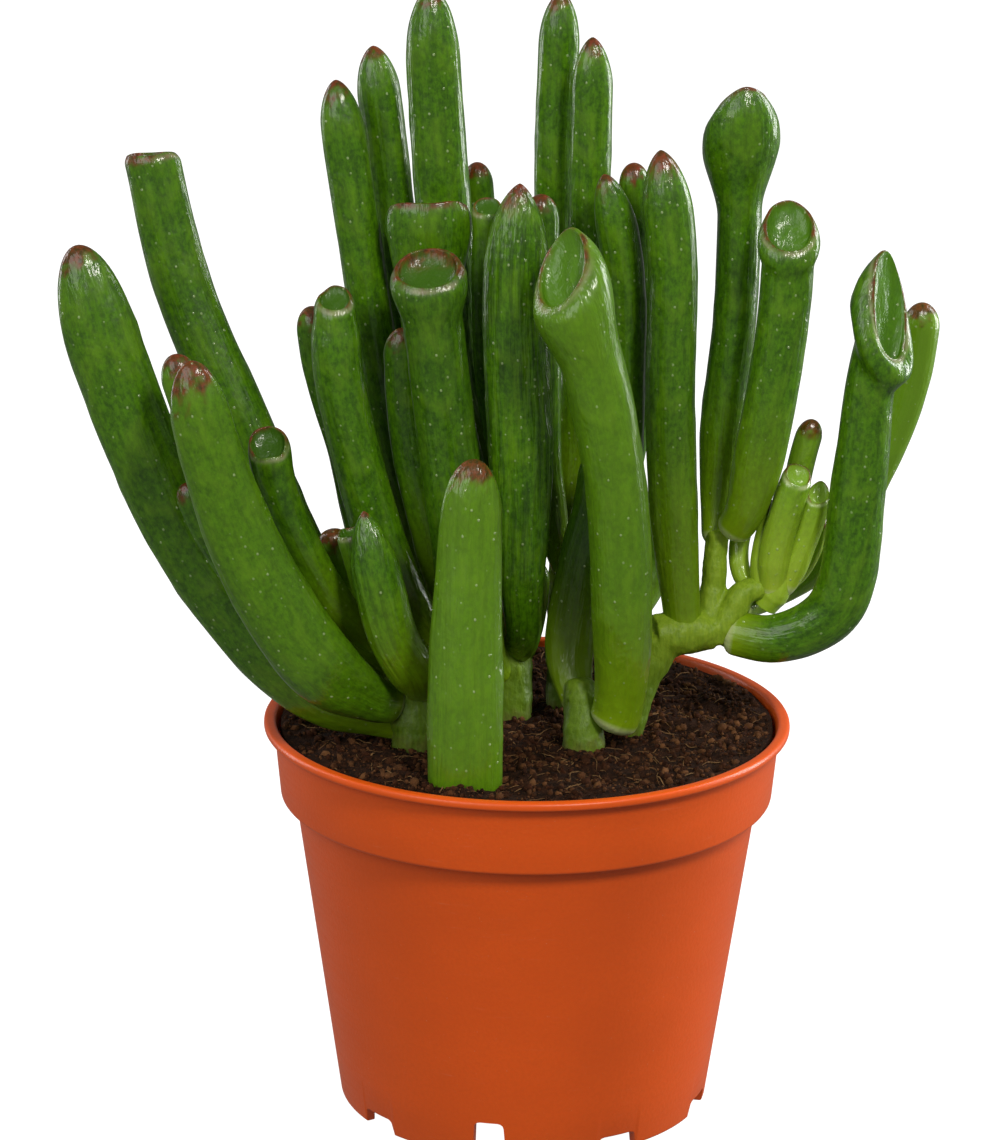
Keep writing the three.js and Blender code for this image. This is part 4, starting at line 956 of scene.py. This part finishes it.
def pot_plastic(colour):
    """Injection-moulded polypropylene, coloured through: an even satin skin with a very fine
    orange-peel texture, slow unevenness from cooling, faint scuffs round the wall and dust specks."""
    material, tree = new_material("moulded_polypropylene")
    spot = object_mm(tree)
    peel = cloud(tree, spot, (0.8, 0.8, 0.8), 2.0, 0.5)
    cast = cloud(tree, spot, (26, 26, 16), 2.0, 0.5)
    scuff = cloud(tree, spot, (11, 11, 0.9), 4.0, 0.7)
    dust = cloud(tree, spot, (0.45, 0.45, 0.45), 1.0, 0.5)
    base = layered(tree, shade(colour, 0.97), [
        (ramp(tree, cast, 0.35, 0.65), shade(colour, 1.02)),
        (ramp(tree, peel, 0.35, 0.7, 0.0, 0.3), shade(colour, 0.88)),
        (ramp(tree, scuff, 0.62, 0.8, 0.0, 0.16), linear("#e7a07c")),
        (ramp(tree, dust, 0.76, 0.84, 0.0, 0.35), linear("#d9b79e")),
    ])
    rough = ramp(tree, scuff, 0.35, 0.8, 0.34, 0.46)
    surface(tree, Base_Color=base, Roughness=rough, IOR=1.49, Specular_IOR_Level=0.5,
            Normal=bumped(tree, (peel, 0.00005), (cast, 0.0001)),
            Subsurface_Weight=0.05, Subsurface_Radius=(1.0, 0.3, 0.1), Subsurface_Scale=0.0015)
    return material


def peat(name, dark, mid, pale, rough=0.95):
    """Damp peat: matt, nearly black-brown crumbs with rusty and tan bits of fibre and bark."""
    material, tree = new_material(name)
    spot = object_mm(tree)
    clod = cloud(tree, spot, (2.2, 2.2, 2.2), 5.0, 0.7)
    speck = cloud(tree, spot, (0.5, 0.5, 0.5), 3.0, 0.7)
    colour = layered(tree, linear(dark), [
        (ramp(tree, clod, 0.3, 0.7), linear(mid)),
        (ramp(tree, speck, 0.58, 0.72, 0.0, 0.7), linear(pale)),
        (times(tree, attribute(tree, "tone"), 0.6), linear(pale)),
    ])
    surface(tree, Base_Color=colour, Roughness=rough, IOR=1.4, Specular_IOR_Level=0.2,
            Normal=bumped(tree, (clod, 0.0012), (speck, 0.0004)))
    return material


# Settings

class PotSettings(bpy.types.PropertyGroup):
    """Sizes and colour of the pot."""
    height: FloatProperty(name="Height", description="Height of the pot", default=0.091, unit="LENGTH")
    lip_radius: FloatProperty(name="Lip radius", description="Outer radius of the lip", default=0.060,
                              unit="LENGTH")
    wall: FloatProperty(name="Wall", description="Thickness of the wall", default=0.0009, unit="LENGTH")
    colour: FloatVectorProperty(name="Colour", description="Colour of the plastic", subtype="COLOR", size=4,
                                default=linear("#e6590f"))


class SoilSettings(bpy.types.PropertyGroup):
    """How much loose matter lies on the soil."""
    crumbs: IntProperty(name="Crumbs", description="Crumbs of peat on the surface", default=5200)
    fibres: IntProperty(name="Fibres", description="Fibres on the surface", default=620)
    seed: IntProperty(name="Seed", description="Seed of the random places", default=7)


class LeafSettings(bpy.types.PropertyGroup):
    """Fineness of the leaves and the depth of their wrinkles."""
    sides: IntProperty(name="Sides", description="Points round a leaf", default=44)
    spacing: FloatProperty(name="Row spacing", description="Distance between rows along a leaf",
                           default=0.0013, unit="LENGTH")
    wrinkle: FloatProperty(name="Wrinkle", description="Strength of the lengthwise wrinkles",
                           default=1.0, subtype="FACTOR")


class StageSettings(bpy.types.PropertyGroup):
    """Lights and backdrop."""
    key: FloatProperty(name="Key light", description="Power of the key light", default=10.5, unit="POWER")
    fill: FloatProperty(name="Fill light", description="Power of the fill light", default=6.8, unit="POWER")
    rim: FloatProperty(name="Edge lights", description="Power the edge lights share", default=3.0,
                       unit="POWER")
    sky: FloatProperty(name="Surrounding light", description="Strength of the even light", default=0.19)
    paper: FloatProperty(name="Paper glow", description="How white the paper floor shows", default=1.05)


# Operators

# In both tables, lip is the colour of a painted highlight just outside a cup's rim, and deep also serves as
# painted shade in a cup's bowl
GREEN = {
    "deep": "#183203", "dark": "#2c5201", "mid": "#4c7d05", "light": "#6a9416", "inside": "#4a7a0c",
    "foot": "#88a80e", "heel": "#c9d59a", "lip": "#b3a48c", "red": "#7e2612", "rust": "#3e0f08",
    "pore": "#a9bf86",
}
YOUNG = dict(GREEN, deep="#5c8a14", dark="#507a10", mid="#6b9a16", light="#90b53c", inside="#8fb83c",
             foot="#b4cf3a", lip="#dfe3b8")
YOUNG_SIDES, YOUNG_SPACING = 32, 0.9
STALK_VOXEL = 0.00045


class PLANT_OT_pot(bpy.types.Operator):
    """Make the pot: one turned skin with a lip, a collar, a notched foot ring and a drilled floor"""
    bl_idname = "plant.pot"
    bl_label = "Pot"

    def execute(self, context):
        pot = context.scene.plant_pot
        piece = put_mesh("nursery_pot", pot_surface(pot), pot_plastic(pot.colour))
        drill_holes(piece)
        piece.data.shade_smooth()
        piece.data.set_sharp_from_angle(angle=math.radians(38))
        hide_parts("pot")
        return {"FINISHED"}


class PLANT_OT_soil(bpy.types.Operator):
    """Make the soil, and the crumbs and fibres that lie on it"""
    bl_idname = "plant.soil"
    bl_label = "Soil"

    def execute(self, context):
        soil = context.scene.plant_soil
        bed = put_mesh("peat_bed", soil_surface(),
                       peat("damp_peat", "#150b06", "#382012", "#7a5232"))
        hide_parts("soil")
        put_mesh("peat_crumbs", crumb_surface(soil.crumbs, soil.seed),
                 peat("peat_crumb", "#190d07", "#432413", "#8c5f3a"))
        put_mesh("peat_fibres", fibre_surface(soil.fibres, soil.seed + 1),
                 peat("peat_fibre", "#4a2e18", "#7d5a38", "#b08a5c", 0.8))
        return {"FINISHED"}


class PLANT_OT_stems(bpy.types.Operator):
    """Make the stems: limbs grown into one skin, then smoothed"""
    bl_idname = "plant.stems"
    bl_label = "Stems"

    def execute(self, context):
        bark = stem_skin()
        for k, (name, limbs) in enumerate(STEMS.items()):
            limbs = join([limb_surface(path, radii) for path, radii in limbs])
            piece = put_mesh(name.replace("stem_", "stalk_"), limbs, bark)
            mesh = applied(piece, ("REMESH", {"mode": "VOXEL", "voxel_size": STALK_VOXEL}),
                           ("SMOOTH", {"factor": 0.5, "iterations": 6}))
            spots, out = np.empty((2, len(mesh.vertices) * 3), np.float32)
            mesh.vertices.foreach_get("co", spots)
            mesh.vertices.foreach_get("normal", out)
            spots = (spots.reshape(-1, 3) - AXIS) / MM
            relief = 0.22 * noise(spots, (2.2, 2.2, 3.5), 51 + k) + 0.1 * noise(spots, 1.0, 61 + k)
            moved = spots + relief[:, None] * out.reshape(-1, 3)
            mesh.vertices.foreach_set("co", place(moved).ravel().astype(np.float32))
            # Old and corky near the soil, fresh and yellow-green above, by height in millimetres
            age = 1 - smooth(90, 100, spots[:, 2])
            fresh = 0.15 + 0.75 * smooth(98, 116, spots[:, 2])
            for key, array in (("age", age), ("fresh", fresh)):
                made = mesh.attributes.new(key, "FLOAT", "POINT")
                made.data.foreach_set("value", array.astype(np.float32))
            mesh.shade_smooth()
            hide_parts(name)
        return {"FINISHED"}


class PLANT_OT_leaves(bpy.types.Operator):
    """Make every finger leaf as a piece of its own"""
    bl_idname = "plant.leaves"
    bl_label = "Leaves"

    def execute(self, context):
        fine = context.scene.plant_leaf
        skin = leaf_skin("waxy_leaf_skin", GREEN, 0.38)
        for k, (name, leaf) in enumerate(LEAVES.items()):
            form = leaf_surface(leaf, 100 + 10 * k, fine.sides, fine.spacing / MM, fine.wrinkle)
            piece = put_mesh(name.replace("leaf_", "finger_"), form, skin)
            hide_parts(name)
        return {"FINISHED"}


class PLANT_OT_young_shoot(bpy.types.Operator):
    """Make the young shoot: small leaves round a short stalk"""
    bl_idname = "plant.young_shoot"
    bl_label = "Young shoot"

    def execute(self, context):
        fine = context.scene.plant_leaf
        parts = [leaf_surface(leaf, 700 + 10 * k, YOUNG_SIDES, YOUNG_SPACING, fine.wrinkle)
                 for k, leaf in enumerate(SHOOT_LEAVES)]
        points, quads, tris, _ = limb_surface(*SHOOT_STALK)
        values = {key: np.zeros(len(points)) for key in parts[0][3]}
        values["grain"] = points - points.mean(axis=0)
        values["pale"] = np.full(len(points), 0.6)
        cluster = join(parts + [(points, quads, tris, values)])
        piece = put_mesh("young_finger_cluster", cluster,
                         leaf_skin("young_leaf_skin", YOUNG, 0.3))
        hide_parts("young_shoot")
        return {"FINISHED"}


# Camera, in millimetres from the pot's axis, and its angles in radians
CAMERA_PLACE = (0.0, -866.63, 383.94)
CAMERA_PITCH = 0.2899
CAMERA_YAW = -0.0074
CAMERA_ROLL = 0.0085
FOCAL_PIXELS = 4000
IMAGE_HEIGHT = 1140


def add_camera():
    """The camera of the photograph: a long lens about 0.87 m in front, looking a little down."""
    yaw, pitch, roll = CAMERA_YAW, CAMERA_PITCH, CAMERA_ROLL
    ahead = np.array([math.sin(yaw) * math.cos(pitch), math.cos(yaw) * math.cos(pitch), -math.sin(pitch)])
    right = np.array([math.cos(yaw), -math.sin(yaw), 0])
    up = np.cross(right, ahead)
    turned = math.cos(roll) * right + math.sin(roll) * up
    up = -math.sin(roll) * right + math.cos(roll) * up
    data = bpy.data.cameras.new("camera")
    data.sensor_fit = "VERTICAL"
    data.sensor_height = 36
    data.lens = FOCAL_PIXELS * data.sensor_height / IMAGE_HEIGHT
    data.clip_end = 20
    camera = bpy.data.objects.new("camera", data)
    bpy.context.scene.collection.objects.link(camera)
    turn = Matrix((turned, up, -ahead)).transposed().to_4x4()
    camera.matrix_world = Matrix.Translation(Vector(place(CAMERA_PLACE))) @ turn
    bpy.context.scene.camera = camera


# Stage, in metres: the floor just clears the pot's foot
FLOOR_RADIUS = 5.0
FLOOR_SIDES = 96
FLOOR_DROP = 0.0002
LIGHT_TARGET = (0.0, 0.0, 0.15)
RIGHT_SHARE, LEFT_SHARE = 3.2, 1.2


def add_light(name, spot, size, power, colour):
    """A softbox of a width and height in metres, turned to the middle of the plant."""
    data = bpy.data.lights.new(name, "AREA")
    data.shape = "RECTANGLE"
    data.size, data.size_y = size
    data.energy = power
    data.color = linear(colour)[:3]
    light = bpy.data.objects.new(name, data)
    light.location = spot
    light.rotation_euler = (Vector(LIGHT_TARGET) - Vector(spot)).to_track_quat("-Z", "Y").to_euler()
    bpy.context.scene.collection.objects.link(light)


class PLANT_OT_stage(bpy.types.Operator):
    """Make the pale floor, the soft studio lights and the camera"""
    bl_idname = "plant.stage"
    bl_label = "Stage"

    def execute(self, context):
        stage = context.scene.plant_stage
        add_camera()
        material, tree = new_material("matt_white_paper")
        surface(tree, Base_Color=linear("#808080"), Roughness=0.9, IOR=1.45, Specular_IOR_Level=0.0,
                Emission_Color=linear("#ffffff"), Emission_Strength=stage.paper)
        turn = np.linspace(0, 2 * math.pi, FLOOR_SIDES, endpoint=False)
        ring = FLOOR_RADIUS * np.stack([np.cos(turn), np.sin(turn), 0 * turn], -1)
        ring += [AXIS[0], AXIS[1], POT_LOW[2] - FLOOR_DROP]
        mesh = bpy.data.meshes.new("paper_floor")
        mesh.from_pydata(ring.tolist(), [], [list(range(FLOOR_SIDES))])
        mesh.materials.append(material)
        floor = bpy.data.objects.new("paper_floor", mesh)
        # The paper glows, so that it shows white, and lights nothing
        floor.visible_diffuse = floor.visible_glossy = False
        context.scene.collection.objects.link(floor)

        add_light("key_softbox", (0.45, -0.95, 1.05), (0.22, 0.3), stage.key, "#fffaf2")
        add_light("fill_softbox", (-0.7, -1.0, 0.8), (0.8, 0.8), stage.fill, "#fffdfa")
        add_light("right_edge_strip", (0.85, 0.3, 0.4), (0.2, 0.9), stage.rim * RIGHT_SHARE, "#ffffff")
        add_light("left_edge_strip", (-0.85, 0.4, 0.4), (0.2, 0.9), stage.rim * LEFT_SHARE, "#ffffff")
        world = bpy.data.worlds.new("studio")
        world.use_nodes = True
        context.scene.world = world
        background = world.node_tree.nodes["Background"]
        background.inputs["Color"].default_value = linear("#ffffff")
        background.inputs["Strength"].default_value = stage.sky
        context.scene.view_settings.view_transform = "Standard"
        return {"FINISHED"}


class PLANT_PT_panel(bpy.types.Panel):
    """The buttons that make the plant's pieces, with their settings"""
    bl_label = "Jade plant"
    bl_space_type = "VIEW_3D"
    bl_region_type = "UI"
    bl_category = "Plant"

    def draw(self, context):
        scene = context.scene
        for kind in OPERATORS:
            self.layout.operator(kind.bl_idname)
        for group in (scene.plant_pot, scene.plant_soil, scene.plant_leaf, scene.plant_stage):
            box = self.layout.box()
            for key in group.__annotations__:
                box.prop(group, key)


OPERATORS = (PLANT_OT_pot, PLANT_OT_soil, PLANT_OT_stems, PLANT_OT_leaves, PLANT_OT_young_shoot,
             PLANT_OT_stage)
CLASSES = (PotSettings, SoilSettings, LeafSettings, StageSettings, *OPERATORS, PLANT_PT_panel)


def register():
    """Registers the classes and hangs their settings on the scene."""
    for kind in CLASSES:
        bpy.utils.register_class(kind)
    bpy.types.Scene.plant_pot = PointerProperty(type=PotSettings)
    bpy.types.Scene.plant_soil = PointerProperty(type=SoilSettings)
    bpy.types.Scene.plant_leaf = PointerProperty(type=LeafSettings)
    bpy.types.Scene.plant_stage = PointerProperty(type=StageSettings)


def unregister():
    """Takes the settings and classes away again."""
    for key in ("plant_pot", "plant_soil", "plant_leaf", "plant_stage"):
        delattr(bpy.types.Scene, key)
    for kind in reversed(CLASSES):
        bpy.utils.unregister_class(kind)


def main():
    """Makes every piece in order."""
    register()
    bpy.ops.plant.pot()
    bpy.ops.plant.soil()
    bpy.ops.plant.stems()
    bpy.ops.plant.leaves()
    bpy.ops.plant.young_shoot()
    bpy.ops.plant.stage()


if __name__ == "__main__":
    main()
